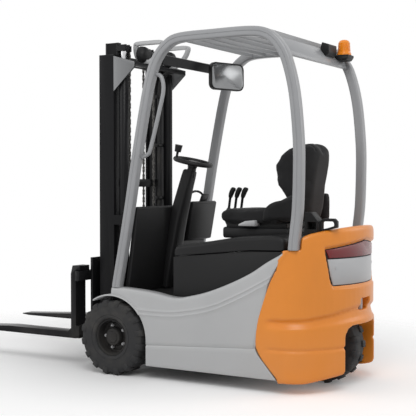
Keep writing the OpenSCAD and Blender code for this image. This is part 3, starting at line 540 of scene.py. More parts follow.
def casting_loop(height, inset, narrow=1.0):
    """The casting's outline at one row, from the left seam round the tail to the right seam."""
    half = []
    for step in range(10):
        turn = corner_turn * step / 10
        half.append((tail_middle - (TAIL_R - inset) * math.cos(turn), (TAIL_R - inset) * math.sin(turn)))
    for step in range(10):
        turn = corner_turn + (math.pi / 2 - corner_turn) * step / 10
        half.append((corner_x - (CORNER_R - inset) * math.cos(turn),
                     corner_y + (CORNER_R - inset) * math.sin(turn)))
    front = seam_end(height) - 0.007
    fade_end = 5 if 0.22 < height(front) < 0.45 else 9
    for step in range(9):
        fade = max(0, 1 - (step / fade_end) ** 2)
        half.append((corner_x + (front - corner_x) * step / 8, CAST_HALF - inset * fade))
    left = [(x + axle.x, y * narrow, height(x)) for x, y in reversed(half)]
    right = [(x + axle.x, -y * narrow, height(x)) for x, y in half[1:]]
    return left + right


under = lambda x: along(tail_low, x)
over = lambda x: along(tail_high, x)
rows = [casting_loop(under, 0.030, n) for n in (0.002, 0.4, 0.8)]
rows += [casting_loop(height, inset) for height, inset in casting_rows]
rows += [casting_loop(over, 0.040, n) for n in (0.8, 0.4, 0.002)]
casting = loft("counterweight_piece", rows)


def tail_block(name, deep, proud, low, high, side_low, side_high, crown, flare=0.0):
    """A block bent round the tail between two radii, with slanted ends and a crowned top."""
    loops = []
    for step in range(41):
        reach = abs(step / 20 - 1)
        side = side_high * (step / 20 - 1)
        bottom = low
        if reach * side_high > side_low:
            bottom += (reach * side_high - side_low) / (side_high - side_low) * (high - low)
        bottom = min(bottom, high - 0.001)
        top = high + (crown - high) * (1 - reach)
        loop = []
        for r, out, z in ((deep, 0, bottom), (deep, 0, top), (proud, flare, top + flare),
                          (proud, flare, bottom - flare)):
            y = side * (1 + out / side_high)
            loop.append((tail_middle - math.sqrt(r * r - y * y) + axle.x, y, z))
        loops.append(loop)
    return loft(name, loops)


def block(name, low, high):
    """A box between two corners."""
    bpy.ops.object.select_all(action="DESELECT")
    middle = (Vector(low) + Vector(high)) / 2
    bpy.ops.mesh.primitive_cube_add(size=1, location=middle, scale=Vector(high) - Vector(low))
    bpy.ops.object.transform_apply(location=True, rotation=True, scale=True)
    bpy.context.object.name = name
    return bpy.context.object


def round_bar(name, middle, radius, length, turn=(0, 0, 0), sides=64):
    """A cylinder about a middle point, turned from upright."""
    bpy.ops.object.select_all(action="DESELECT")
    bpy.ops.mesh.primitive_cylinder_add(vertices=sides, radius=radius, depth=length, location=middle,
                                        rotation=turn)
    bpy.ops.object.transform_apply(location=True, rotation=True, scale=True)
    bpy.context.object.name = name
    return bpy.context.object


modify(casting, "REMESH", mode="VOXEL", voxel_size=CAST_VOXEL)
steer_x = axle.x - WHEELBASE
bay_r = 0.2605
bpy.ops.object.select_all(action="DESELECT")
bpy.ops.mesh.primitive_uv_sphere_add(segments=64, ring_count=32, radius=bay_r, location=(steer_x, 0, axle.z))
bay_dome = bpy.context.object
notch = [(0.215, -0.02), (0.215, 0.29)]
notch += [(0.14 + 0.075 * math.cos(math.radians(a)), 0.29 + 0.075 * math.sin(math.radians(a)))
          for a in range(10, 91, 10)]
notch += [(-y, z) for y, z in reversed(notch)]
notch_cutter = loft("notch", [[(x + axle.x, y, z) for y, z in notch] for x in (-1.50, -1.19)])
cut(casting, round_bar("bay", (steer_x, 0, axle.z / 2 - 0.02), bay_r, axle.z + 0.04), bay_dome,
    round_bar("ring_seat", (steer_x, 0, 0.43), 0.166, 0.135),
    round_bar("motor_bay", (steer_x, 0, 0.55), 0.137, 0.40), notch_cutter,
    tail_block("recess", 0.578, 0.62, 0.588, 0.800, 0.292, 0.330, 0.842, 0.030),
    block("jaw", (TAIL - 0.02 + axle.x, -0.062, 0.440), (TAIL + 0.084 + axle.x, 0.062, 0.508)),
    block("post_seat_left", (axle.x - 1.239, 0.414, 0.795), (axle.x - 1.13, 0.5, 0.96)),
    block("post_seat_right", (axle.x - 1.239, -0.5, 0.795), (axle.x - 1.13, -0.414, 0.96)),
    solver="MANIFOLD")
modify(casting, "REMESH", mode="VOXEL", voxel_size=CAST_VOXEL)
modify(casting, "SMOOTH", factor=0.5, iterations=3)
bpy.ops.object.shade_smooth()
orange = satin_paint("orange", (0.78, 0.255, 0.026), 0.34, dust=0.15)
finish_piece(casting, orange, "chassis", "orange", "counterweight")

# Tail plate and reflector: a plain zinc plate with a bolt at each side under a red reflector strip, both
# bent to the casting and set back in its recess on a black gasket. The tow pin drops through the jaw
# below them.
PLATE_R = 0.5825
BOLT_Y = 0.262
bright_steel = satin_paint("silver_plate", (0.46, 0.465, 0.475), 0.36)
red = satin_paint("red_strip", (0.17, 0.008, 0.012), 0.22)
plate = tail_block("tail_plate_piece", 0.5788, PLATE_R, 0.598, 0.741, 0.285, 0.310, 0.741)
soften(plate, 0.0012, 2)
reflector = tail_block("tail_lamp_piece", 0.5788, 0.5845, 0.748, 0.793, 0.311, 0.3205, 0.832)
soften(reflector, 0.0015, 2)
for side in (-1, 1):
    bolt_y = side * BOLT_Y
    bolt_x = tail_middle - math.sqrt(PLATE_R ** 2 - bolt_y ** 2) + axle.x
    bolt = round_bar("plate_bolt", (bolt_x, bolt_y, 0.690), 0.009, 0.008,
                     (0, math.pi / 2, -side * math.asin(BOLT_Y / PLATE_R)), 6)
    soften(bolt, 0.0012, 1)
    join(plate, bolt)
gasket = tail_block("plate_gasket", 0.5775, 0.5792, 0.589, 0.7995, 0.2915, 0.3295, 0.841)
finish_piece(gasket, frame_black, "chassis", "frame_black")
finish_piece(plate, bright_steel, "chassis", "silver_plate", "tail_plate")
finish_piece(reflector, red, "chassis", "red_strip", "tail_lamp")
broken_edges("tow_pin", bright_steel, 0.001, 1)

# Overhead guard: two bent square tubes of steel in a darker grey, with a shallow fold along their outer
# side and a grab handle on the left one. They stand on the panels and the casting, and carry the roof and
# its front beam.
guard_grey = satin_paint("guard_grey", (0.315, 0.32, 0.33), 0.34)
broken_edges("roof", guard_grey, 0.003)
broken_edges("roof_front_beam", black_steel, 0.0025)
guard_path = smooth_line([(-0.024, 0.545), (-0.072, 0.7807), (-0.116, 1.0099), (-0.166, 1.2964),
                          (-0.234, 1.6401), (-0.275, 1.8002), (-0.315, 1.8898), (-0.378, 1.958),
                          (-0.470, 1.997), (-0.700, 2.002), (-0.930, 2.000), (-1.040, 1.978), (-1.112, 1.915),
                          (-1.160, 1.8265), (-1.204, 1.6506), (-1.229, 1.3999), (-1.231, 1.1999),
                          (-1.225, 1.0203), (-1.212, 0.8998), (-1.202, 0.809)], 8)
guard_path = [Vector((-0.024, 0.5315))] + guard_path + [Vector((-1.202, 0.7955))]
GUARD_Y = 0.447


def tube_section(half, corner, fold):
    """A square tube's section as (across the path, along Y) pairs, with a fold on its outer side."""
    ring = []
    for turn, (u, v) in ((0, (1, 1)), (90, (-1, 1)), (180, (-1, -1)), (270, (1, -1))):
        for step in range(5):
            a = math.radians(turn + step * 22.5)
            ring.append((u * (half - corner) + corner * math.cos(a),
                         v * (half - corner) + corner * math.sin(a)))
        if turn == 0 and fold:
            ring += [(0.0035, half), (0.0015, half - fold), (-0.0015, half - fold), (-0.0035, half)]
    return ring


def bent_tube(name, path, section, y):
    """A tube with a section along a path in the side view."""
    loops = []
    for i, point in enumerate(path):
        run = (path[min(i + 1, len(path) - 1)] - path[max(i - 1, 0)]).normalized()
        loops.append([(point.x - run.y * u + axle.x, y + v, point.y + run.x * u) for u, v in section])
    return loft(name, loops)


guard = bent_tube("guard_left_piece", guard_path, tube_section(0.028, 0.012, 0.0025), GUARD_Y)
bpy.ops.object.shade_smooth_by_angle(angle=math.radians(32))
right_guard = mirrored(guard, "guard_right_piece")
grip_path = smooth_line([(-0.270, 1.8002), (-0.330, 1.7855), (-0.348, 1.7062), (-0.318, 1.5799),
                         (-0.258, 1.3698), (-0.236, 1.3301), (-0.180, 1.3066)], 8)
grip = bent_tube("grip", grip_path, tube_section(0.012, 0.0115, 0), GUARD_Y - 0.012)
bpy.ops.object.shade_smooth_by_angle(angle=math.radians(40))
join(guard, grip)
finish_piece(guard, guard_grey, "chassis", "body_grey", "guard_left")
finish_piece(right_guard, guard_grey, "chassis", "body_grey", "guard_right")

# Tyres: solid black rubber, pressed onto the rims, with bent lugs over both shoulders in turn. The rubber
# is dull, grained from its mould and grey with floor dust in patches.
rubber = Finish("tyre")
grain = rubber.noise(260.0, 4.0)
grime = rubber.noise(9.0, 5.0).between(0.45, 0.72)
rubber.set(Base_Color=rubber.tint(grime * 0.5, (0.016, 0.016, 0.017, 1), (0.060, 0.056, 0.050, 1)),
           Roughness=0.72 + 0.14 * grain)
rubber.bump(grain, 0.35, 0.0008)
TYRE_R = axle.z
RIM_R = 0.112
LUGS = 16
LUG_H = 0.009


def turned(name, profile, middle, steps, axis="Y", closed=True, merge=0.00005):
    """A profile of (radius, along the axis) points, spun about the axis and moved to its place."""
    spots = {"X": lambda r, run: (run, r, 0), "Y": lambda r, run: (r, run, 0),
             "Z": lambda r, run: (r, 0, run)}
    piece = trace(name, [spots[axis](r, run) for r, run in profile], closed)
    bpy.ops.mesh.spin(steps=steps, angle=2 * math.pi, center=(0, 0, 0),
                      axis=[float(letter == axis) for letter in "XYZ"])
    bpy.ops.mesh.select_all(action="SELECT")
    bpy.ops.mesh.remove_doubles(threshold=merge)
    bpy.ops.mesh.normals_make_consistent(inside=False)
    bpy.ops.transform.translate(value=middle)
    bpy.ops.object.mode_set(mode="OBJECT")
    return piece


def tyre(name, node, body):
    """A tyre in place of a node: the carcass is spun, and each lug is a bent block set on its shoulder."""
    low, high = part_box(node)
    middle = (low + high) / 2
    half = (high.y - low.y) / 2
    base = TYRE_R - LUG_H
    edge = [(RIM_R + 0.0002, half - 0.014), (RIM_R + 0.003, half - 0.007), (RIM_R + 0.008, half - 0.002),
            (RIM_R + 0.016, half), (RIM_R + 0.022, half), (RIM_R + 0.0235, half - 0.002),
            (RIM_R + 0.026, half - 0.002), (RIM_R + 0.0275, half), (RIM_R + 0.055, half - 0.001),
            (base - 0.030, half - 0.002), (base - 0.014, half - 0.006), (base - 0.004, half - 0.013),
            (base, half - 0.024), (base, 0.012)]
    carcass = turned(name, edge + [(r, -y) for r, y in reversed(edge)], middle, 80)
    bpy.ops.object.shade_smooth_by_angle(angle=math.radians(35))
    lugs = []
    for i in range(LUGS * 2):
        side = 1 if i % 2 else -1
        turn = math.pi * i / LUGS
        loops = []
        for wide, y in ((0.034, half - 0.0005), (0.038, half - 0.014), (0.038, half - 0.045), (0.034, 0.020)):
            wide = wide / 2
            top = TYRE_R - 0.0008 - (0.010 if y > half - 0.001 else 0)
            loop = []
            for u, r in ((-wide - 0.004, base - (0.034 if y > half - 0.001 else 0.006)), (-wide, top),
                         (0, top + 0.0006), (wide, top),
                         (wide + 0.004, base - (0.034 if y > half - 0.001 else 0.006))):
                slant = 0.010 * (half - y) / half * side
                a = turn + (u + slant) / TYRE_R
                loop.append((middle.x + r * math.cos(a), middle.y + side * y, middle.z + r * math.sin(a)))
            loops.append(loop)
        lug = loft("lug", loops)
        soften(lug, 0.0022, 2, 25)
        lugs.append(lug)
    join(carcass, *lugs)
    finish_piece(carcass, rubber.material, body, "tyre", node)
    return carcass


for name, node, body in (("front_tyre_left_piece", "front_tyre_left", "left_wheel"),
                         ("front_tyre_right_piece", "front_tyre_right", "right_wheel"),
                         ("drive_tyre_piece", "drive_tyre", "drive_wheel")):
    tyre(name, node, body)

# Rims: black pressed steel discs, dished inside the flange, each with a turned hub cap. Five zinc plated
# nuts on studs hold each one on its hub.
HUB_SIDES = (("front_rim_left", "left_wheel", 1), ("front_rim_right", "right_wheel", -1),
             ("drive_rim", "drive_wheel", 1))
NUTS = 5
NUT_R = 0.070
zinc = satin_paint("pin_steel", (0.42, 0.42, 0.43), 0.30)
for node, body, side in HUB_SIDES:
    low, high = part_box(node)
    middle = (low + high) / 2
    half = (high.y - low.y) / 2
    disc = 0.016
    face = [(RIM_R - 0.002, half), (RIM_R - 0.010, half), (RIM_R - 0.013, half - 0.004),
            (RIM_R - 0.015, half - 0.014), (RIM_R - 0.017, disc + 0.018), (RIM_R - 0.022, disc + 0.008),
            (RIM_R - 0.030, disc + 0.004), (0.092, disc + 0.004), (0.082, disc + 0.009),
            (0.060, disc + 0.009), (0.056, disc + 0.012), (0.053, half - 0.020), (0.049, half - 0.013),
            (0.044, half - 0.011), (0.0352, half - 0.011)]
    back = [(0.0352, -half + 0.008), (0.056, -half + 0.008), (0.057, -0.010), (RIM_R - 0.016, -0.010),
            (RIM_R - 0.015, -half + 0.004), (RIM_R - 0.010, -half), (RIM_R - 0.002, -half),
            (RIM_R, -half + 0.002), (RIM_R, half - 0.002)]
    wheel = turned(node + "_piece", [(r, side * y) for r, y in face + back], middle, 72)
    bpy.ops.object.shade_smooth_by_angle(angle=math.radians(35))
    cap = round_bar("hub_cap", middle + Vector((0, side * (half - 0.016), 0)), 0.0351, 0.016,
                    (math.pi / 2, 0, 0), 40)
    soften(cap, 0.005, 3)
    join(wheel, cap)
    finish_piece(wheel, black_steel, body, "black_steel", node)
    nuts = []
    for i in range(NUTS):
        turn = math.radians(360 / NUTS * i)
        spot = middle + Vector((NUT_R * math.cos(turn), side * (disc + 0.015), NUT_R * math.sin(turn)))
        nut = round_bar("nut", spot, 0.0105, 0.014, (math.pi / 2, 0, 0), 6)
        soften(nut, 0.0015, 2)
        stud = round_bar("stud", spot + Vector((0, side * 0.008, 0)), 0.0055, 0.010, (math.pi / 2, 0, 0), 12)
        nuts += [nut, stud]
    join(*nuts)
    nuts[0].name = node + "_nuts"
    finish_piece(nuts[0], zinc, body, "pin_steel")

# Steering column: a shroud of moulded black plastic on the dash, which narrows towards the wheel, with
# the shaft's boss on top. The wheel carries its knob, and a bent hoop stands on the dash beside the
# column.
broken_edges("steering_wheel", black_plastic, 0.004)
STEER_TILT = math.atan2(0.224951, 0.97437)
shroud = []
for z, front, back, half in ((0.500, -0.082, -0.128, 0.062), (0.700, -0.104, -0.168, 0.062),
                             (0.930, -0.136, -0.215, 0.060), (1.005, -0.152, -0.234, 0.058),
                             (1.115, -0.187, -0.262, 0.050), (1.200, -0.213, -0.288, 0.043),
                             (1.232, -0.224, -0.296, 0.040), (1.242, -0.232, -0.288, 0.032)):
    ring = []
    for step in range(32):
        turn = 2 * math.pi * (step + 0.5) / 32
        u, v = (math.copysign(abs(part) ** 0.55, part) for part in (math.cos(turn), math.sin(turn)))
        ring.append(((front + back) / 2 + (front - back) / 2 * u + axle.x, half * v,
                     z + 0.22 * (front - back) / 2 * u))
    shroud.append(ring)
column = loft("steering_column_piece", shroud)
bpy.ops.object.shade_smooth_by_angle(angle=math.radians(40))
column_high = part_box("steering_column")[1].z
boss = round_bar("boss", (axle.x - 0.2698, 0, column_high - 0.0385), 0.0275, 0.065,
                 (0, -STEER_TILT, 0), 40)
soften(boss, 0.002, 2)
join(column, boss)
finish_piece(column, black_plastic, "chassis", "black_plastic", "steering_column")


def pipe(name, path, radius, sides=12):
    """A round bar or hose along a path in space."""
    loops = []
    for i, point in enumerate(path):
        run = (path[min(i + 1, len(path) - 1)] - path[max(i - 1, 0)]).normalized()
        across = run.cross(Vector((0, 1, 0.01))).normalized()
        other = run.cross(across)
        turns = [2 * math.pi * k / sides for k in range(sides)]
        loops.append([point + (across * math.cos(turn) + other * math.sin(turn)) * radius for turn in turns])
    made = loft(name, loops)
    bpy.ops.object.shade_smooth_by_angle(angle=math.radians(40))
    return made


hoop_line = [Vector((axle.x - 0.186, -0.195 + 0.108 * math.cos(math.radians(a)),
                     1.028 + 0.078 * math.sin(math.radians(a)) ** 0.8)) for a in range(0, 181, 9)]
dash_hoop = pipe("dash_hoop", hoop_line, 0.0075)
finish_piece(dash_hoop, black_plastic, "chassis", "black_plastic")

# Hood: one lid of moulded black plastic over the battery, with rounded edges all round and a skirt that
# hides the covers' top. Two hinge knuckles on straps carry its rear edge.
HOOD_FRONT = -0.402
HOOD_END = -0.945 * WHEELBASE
HINGE_Y = 0.220
hood_half = 0.411
hood_top = [(HOOD_FRONT, 0.791), (-0.487 * WHEELBASE, 0.814), (-0.655 * WHEELBASE, 0.848),
            (-0.869 * WHEELBASE, 0.866), (HOOD_END, 0.858)]
hood_low = [(HOOD_FRONT, 0.727), (-0.532 * WHEELBASE, 0.749), (-0.763 * WHEELBASE, 0.777), (HOOD_END, 0.781)]
lid_loops = []
stations = [(0.0, 0.024, 0.010), (0.004, 0.012, 0.005), (0.011, 0.0045, 0.0015), (0.022, 0.0, 0.0)]
length = HOOD_FRONT - HOOD_END
stations += [(length * k / 14, 0.0, 0.0) for k in range(1, 14)]
stations += [(length - 0.022, 0.0, 0.0), (length - 0.011, 0.0045, 0.0015), (length - 0.004, 0.012, 0.005),
             (length, 0.024, 0.010)]
for run, drop, less in stations:
    x = HOOD_FRONT - run
    top, low_edge = along(hood_top, x) - drop, along(hood_low, x) + 0.005 + drop * 0.3
    half, round_r = hood_half - less, 0.024
    edge = [(half - 0.003, low_edge), (half, low_edge + 0.003)]
    edge += [(half - round_r * (1 - math.cos(math.radians(a))),
              top - round_r * (1 - math.sin(math.radians(a)))) for a in range(0, 91, 15)]
    edge += [(half * 0.5, top + 0.004)]
    lid_loops.append([(x + axle.x, y, z) for y, z in edge] + [(x + axle.x, -y, z) for y, z in reversed(edge)])
lid = loft("hood_lid_piece", lid_loops)
bpy.ops.object.shade_smooth_by_angle(angle=math.radians(35))
hinge_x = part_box("hood_lid")[0].x + 0.014
for side in (-1, 1):
    knuckle = round_bar("knuckle", (hinge_x, side * HINGE_Y, 0.806), 0.0138, 0.080, (math.pi / 2, 0, 0), 24)
    strap = block("strap", (hinge_x, side * HINGE_Y - 0.040, 0.808),
                  (HOOD_END + axle.x + 0.004, side * HINGE_Y + 0.040, 0.820))
    join(lid, knuckle, strap)
finish_piece(lid, black_plastic, "hood", "black_plastic", "hood_lid")

# Seat base: a suspension box of black plastic on the hood, with the cushion's pan on top of it and a pale
# grey adjuster that sticks out at the left side.
seat_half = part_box("seat_cushion")[1].y
base_low, base_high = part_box("seat_base")
lower = block("seat_base_piece", (base_low.x + 0.006, base_low.y, base_low.z + 0.008),
              (base_high.x + 0.012, base_high.y, 0.900))
soften(lower, 0.016, 4)
pan = block("pan", (base_low.x + 0.030, base_low.y + 0.020, 0.890),
            (base_high.x - 0.004, base_high.y - 0.020, 0.9297))
soften(pan, 0.006, 2)
ramp = block("ramp", (base_low.x + 0.06, base_low.y + 0.05, base_low.z),
             (base_high.x - 0.06, base_high.y - 0.05, 0.89))
join(lower, pan, ramp)
finish_piece(lower, black_plastic, "hood", "black_plastic", "seat_base")
adjuster_line = [(-0.738, 0.909), (-0.742, 0.920), (-0.785, 0.938), (-0.850, 0.944), (-0.850, 0.908)]
adjuster = loft("seat_adjuster", [[(x + axle.x, y, z) for x, z in adjuster_line]
                                  for y in (base_high.y - 0.024, seat_half + 0.005)])
soften(adjuster, 0.004, 3)
pale_grey = satin_paint("pale_grey", (0.50, 0.505, 0.51), 0.42)
finish_piece(adjuster, pale_grey, "hood", "silver_plate")

# Lever console: an arm of moulded black plastic, bolted on the hood beside the seat, with three levers
# for the mast. Each lever has a rubber bellows at its foot and a bent grip.
LEVER_GAP = 0.046
LEVER_LEAN = math.radians(8)
console_low, console_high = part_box("lever_console")
console_y = (console_low.y + console_high.y) / 2
arm_line = [(HOOD_FRONT - 0.004, 0.792), (-0.5795, 0.8142), (-0.6188, 0.823), (-0.6188, 0.955),
            (HOOD_FRONT + 0.070, 0.970), (HOOD_FRONT + 0.070, 0.930)]
arm = loft("lever_console_piece", [[(x + axle.x, y, z) for x, z in arm_line]
                                   for y in (console_low.y, console_high.y)])
soften(arm, 0.012, 4)


def lever_ring(spot, radius, tilt=0.0):
    """A ring of points round a lever, tilted back where the grip bends."""
    turns = [k * math.pi / 8 for k in range(16)]
    return [(spot.x + radius * math.cos(turn), spot.y + radius * math.sin(turn),
             spot.z + tilt * radius * math.cos(turn)) for turn in turns]


levers = []
for i in range(3):
    foot = Vector((HOOD_FRONT + 0.044 - i * LEVER_GAP + axle.x, console_y + 0.022, 0.958))
    lean = Vector((-math.sin(LEVER_LEAN), 0, math.cos(LEVER_LEAN)))
    bellows = []
    for ring, radius in enumerate((0.021, 0.021, 0.016, 0.019, 0.014, 0.017, 0.012, 0.009)):
        spot = foot + lean * (0.006 * ring)
        bellows.append(lever_ring(spot, radius))
    levers.append(loft("bellows", bellows))
    grip = []
    for share, radius, back in ((0, 0.0085, 0), (0.50, 0.0085, 0), (0.56, 0.0135, -0.001),
                                (0.66, 0.0155, -0.003), (0.80, 0.0165, -0.008), (0.92, 0.0165, -0.015),
                                (0.98, 0.0135, -0.019), (1, 0.008, -0.021)):
        spot = foot + lean * (0.036 + 0.137 * share) + Vector((back, 0, 0))
        grip.append(lever_ring(spot, radius, 0.4 * share))
    levers.append(loft("grip", grip))
for lever in levers:
    pick(lever)
    bpy.ops.object.shade_smooth_by_angle(angle=math.radians(50))
join(arm, *levers)
finish_piece(arm, black_plastic, "hood", "black_plastic", "lever_console")

# Seat pads: foam in black knit cloth, sewn down in two channels. The cushion lies on the pan, the back
# has side wings and a rounded shell, and a hip bolster closes the cushion's rear on each side.
SEAT_X = -0.862 * WHEELBASE
BACK_LOW = 0.945
BACK_TALL = 0.44
SWELL_STEPS = 20
CHANNEL_HALF = 0.011
CHANNEL_DEEP = 0.0055
knit = Finish("seat_fabric")
warp = knit.node("ShaderNodeTexWave", {"wave_type": "BANDS", "bands_direction": "DIAGONAL"},
                 Vector=knit.place(), Scale=150.0, Distortion=1.5)
fuzz = knit.noise(700.0, 3.0)
worn_area = knit.noise(4.0, 4.0).between(0.4, 0.75)
knit.set(Base_Color=knit.tint(worn_area * 0.5 + 0.3 * fuzz, (0.007, 0.007, 0.0075, 1),
                              (0.024, 0.024, 0.0255, 1)),
         Roughness=0.82 + 0.12 * fuzz, Sheen_Weight=0.1, Specular_IOR_Level=0.25)
knit.bump(warp * 0.5 + fuzz * 0.5, 0.35, 0.0012)


def foam(piece, swell, channel=None, voxel=0.0055):
    """Swells a closed form as a stuffed cover: cloth under pressure, with a limit on how far a point moves. A
    channel sews it down along two lines that far from the middle, on the sides that face up or forward."""
    modify(piece, "REMESH", mode="VOXEL", voxel_size=voxel)
    modify(piece, "SMOOTH", factor=0.5, iterations=4)
    rest = [vertex.co.copy() for vertex in piece.data.vertices]
    bpy.ops.object.modifier_add(type="CLOTH")
    cloth = piece.modifiers[-1]
    cloth.settings.use_pressure = True
    cloth.settings.uniform_pressure_force = 4.0
    cloth.settings.effector_weights.gravity = 0.0
    cloth.settings.quality = 4
    cloth.settings.tension_stiffness = 20
    cloth.settings.compression_stiffness = 20
    cloth.collision_settings.use_collision = False
    for step in range(1, SWELL_STEPS + 1):
        scene.frame_set(step)
    bpy.ops.object.modifier_apply(modifier=cloth.name)
    scene.frame_set(1)
    for vertex, start in zip(piece.data.vertices, rest):
        move = vertex.co - start
        if move.length > swell:
            vertex.co = start + move * (swell / move.length)
    modify(piece, "SMOOTH", factor=0.5, iterations=10)
    if channel:
        facing = [vertex.normal.copy() for vertex in piece.data.vertices]
        for vertex, normal in zip(piece.data.vertices, facing):
            near = 1 - abs(abs(vertex.co.y) - channel) / CHANNEL_HALF
            if near > 0 and max(normal.x, normal.z) > 0.25:
                vertex.co -= normal * CHANNEL_DEEP * near
    bpy.ops.object.shade_smooth()
    finish_piece(piece, knit.material, "hood", "seat_fabric")


def pad(name, outline, near, far, crown):
    """A pad from its outline in the side view, between two faces across the truck, narrower at both."""
    middle = Vector((sum(x for x, z in outline), sum(z for x, z in outline))) / len(outline)
    loops = []
    for share, shrink in ((0, 0.80), (0.06, 0.91), (0.16, 0.97), (0.32, 1.0), (0.5, 1.0), (0.68, 1.0),
                          (0.84, 0.97), (0.94, 0.91), (1, 0.80)):
        y = near + (far - near) * share
        loops.append([(middle.x + (x - middle.x) * (1 - (1 - shrink) * crown) + axle.x, y,
                       middle.y + (z - middle.y) * (1 - (1 - shrink) * crown)) for x, z in outline])
    return loft(name, loops)


cushion_line = smooth_line([(-0.600, 0.934), (-0.588, 0.955), (-0.592, 0.982), (-0.620, 0.996),
                            (-0.74, 0.996), (-0.90, 1.006), (-1.010, 1.014), (-1.022, 1.004), (-1.022, 0.946),
                            (-1.010, 0.934)], 4)
cushion = pad("seat_cushion_piece", [tuple(point) for point in cushion_line], -seat_half + 0.008,
              seat_half - 0.008, 0.5)
foam(cushion, 0.012, 0.135)
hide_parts("seat_cushion")
hip_line = smooth_line([(-0.888, 0.940), (-0.893, 0.990), (-0.915, 1.026), (-0.957, 1.052), (-1.030, 1.076),
                        (-1.095, 1.098), (-1.122, 1.080), (-1.122, 0.950), (-1.105, 0.938)], 4)
for side, name in ((1, "seat_hip_left"), (-1, "seat_hip_right")):
    hip = pad(name, [tuple(point) for point in hip_line], side * (seat_half - 0.062),
              side * (seat_half - 0.006), 0.4)
    foam(hip, 0.008)

wing_front = [(0.945, -0.030), (1.01, -0.010), (1.064, 0.020), (1.15, 0.068), (1.262, 0.080), (1.330, 0.050),
              (1.365, 0.018), (1.385, -0.020)]
shell_back = [(0.945, -0.096), (1.01, -0.100), (1.15, -0.118), (1.30, -0.145), (1.36, -0.150),
              (1.385, -0.118)]
back_wide = [(0.945, 0.120), (1.01, 0.158), (1.15, 0.180), (1.262, 0.182), (1.33, 0.165), (1.365, 0.140),
             (1.385, 0.105)]
wing_deep = [(0.945, 0.004), (1.06, 0.016), (1.15, 0.045), (1.262, 0.052), (1.33, 0.040), (1.385, 0.006)]
back_loops = []
for step in range(23):
    z = BACK_LOW + BACK_TALL * step / 22
    front, rear, wide, deep = (along(table, z) for table in (wing_front, shell_back, back_wide, wing_deep))
    half = [(front - deep, 0.0), (front - deep, 0.5), (front - deep * 0.7, 0.68), (front - deep * 0.2, 0.82),
            (front, 0.92), (front - 0.014, 1.0), (front - 0.045, 1.02), ((front + rear) / 2, 0.99),
            (rear + (front - rear) * 0.22, 0.90), (rear + (front - rear) * 0.06, 0.68), (rear, 0.42),
            (rear, 0.0)]
    ring = [(SEAT_X + x + axle.x, y * wide, z) for x, y in half]
    back_loops.append(ring + [(x, -y, z) for x, y, z in reversed(ring[1:-1])])
seat_back = loft("seat_back_piece", back_loops)
foam(seat_back, 0.010, 0.090)
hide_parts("seat_back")

# Mast lamps: two round work lamps in black shells, each in a loop of bent flat bar that is welded to the
# outer mast's top bar. Grey gusset plates stiffen the bar's ends.
lamp_y = 0.150
MAST_TOP = 1.960
loop_line = smooth_line([(-0.005, -0.036), (0.030, -0.012), (0.043, 0.022), (0.045, 0.060), (0.032, 0.074),
                         (-0.060, 0.076), (-0.142, 0.074), (-0.154, 0.060), (-0.133, 0.016), (-0.092, -0.024),
                         (-0.055, -0.043), (-0.005, -0.036)], 5)
bar_loops = []
for i, point in enumerate(loop_line):
    count = len(loop_line) - 1
    run = (loop_line[(i + 1) % count] - loop_line[(i - 1) % count]).normalized()
    bar_loops.append([(point.x - run.y * u + axle.x, lamp_y + v, MAST_TOP + point.y + run.x * u)
                      for u, v in ((0.0125, -0.013), (0.0125, 0.013), (-0.0125, 0.013), (-0.0125, -0.013))])
hoop = loft("mast_lamps_piece", bar_loops, caps=False)
bpy.ops.object.mode_set(mode="EDIT")
bpy.ops.mesh.select_all(action="SELECT")
bpy.ops.mesh.remove_doubles(threshold=0.0004)
bpy.ops.mesh.normals_make_consistent(inside=False)
bpy.ops.object.mode_set(mode="OBJECT")
soften(hoop, 0.002, 2, 40)
stalk = block("stalk", (axle.x - 0.044, lamp_y - 0.006, MAST_TOP - 0.0557),
              (axle.x - 0.024, lamp_y + 0.006, MAST_TOP - 0.036))
join(hoop, stalk, mirrored(hoop, "hoop_right"), mirrored(stalk, "stalk_right"))
finish_piece(hoop, body_grey, "outer_mast", "body_grey", "mast_lamps")
RAIL_X = 0.115
MAST_HALF = 0.295
gusset_line = [(RAIL_X, -0.230), (-0.044, -0.084), (-0.044, -0.055), (RAIL_X, -0.010)]
gusset = loft("mast_gusset", [[(x + axle.x, y, MAST_TOP + z) for x, z in gusset_line]
                              for y in (MAST_HALF - 0.0128, MAST_HALF + 0.0008)])
soften(gusset, 0.0015, 2)
join(gusset, mirrored(gusset, "mast_gusset_right"))
gusset_grey = satin_paint("gusset_grey", (0.22, 0.224, 0.23), 0.42)
finish_piece(gusset, gusset_grey, "outer_mast", "body_grey")
lamp_shell = [(0.0004, -0.046), (0.030, -0.046), (0.044, -0.038), (0.052, -0.022), (0.055, -0.004),
              (0.0555, 0.004), (0.0535, 0.0075), (0.050, 0.0075), (0.049, 0.002), (0.0004, 0.004)]
for side, name in ((1, "work_lamp_left"), (-1, "work_lamp_right")):
    lamp_body = turned(name, lamp_shell, (axle.x, side * lamp_y, MAST_TOP + 0.002), 40, "X", False, 0.001)
    bpy.ops.object.shade_smooth_by_angle(angle=math.radians(40))
    finish_piece(lamp_body, black_plastic, "outer_mast", "black_plastic")

# Lift chains: leaf chain, with pairs of plates in turn on steel pins, oiled and dark. The back run is
# anchored on the outer mast and the front run on the carriage, and both go up to the pulleys on the inner
# mast.
LINK_PAIR = 0.0508
END_GAP = 0.006
oiled = Finish("chain_steel")
oil = oiled.noise(120.0, 4.0)
oiled.set(Base_Color=oiled.tint(oil, (0.040, 0.038, 0.035, 1), (0.14, 0.135, 0.13, 1)), Metallic=0.8,
          Roughness=0.32 + 0.2 * oil)
oiled.bump(oil, 0.2, 0.0005)


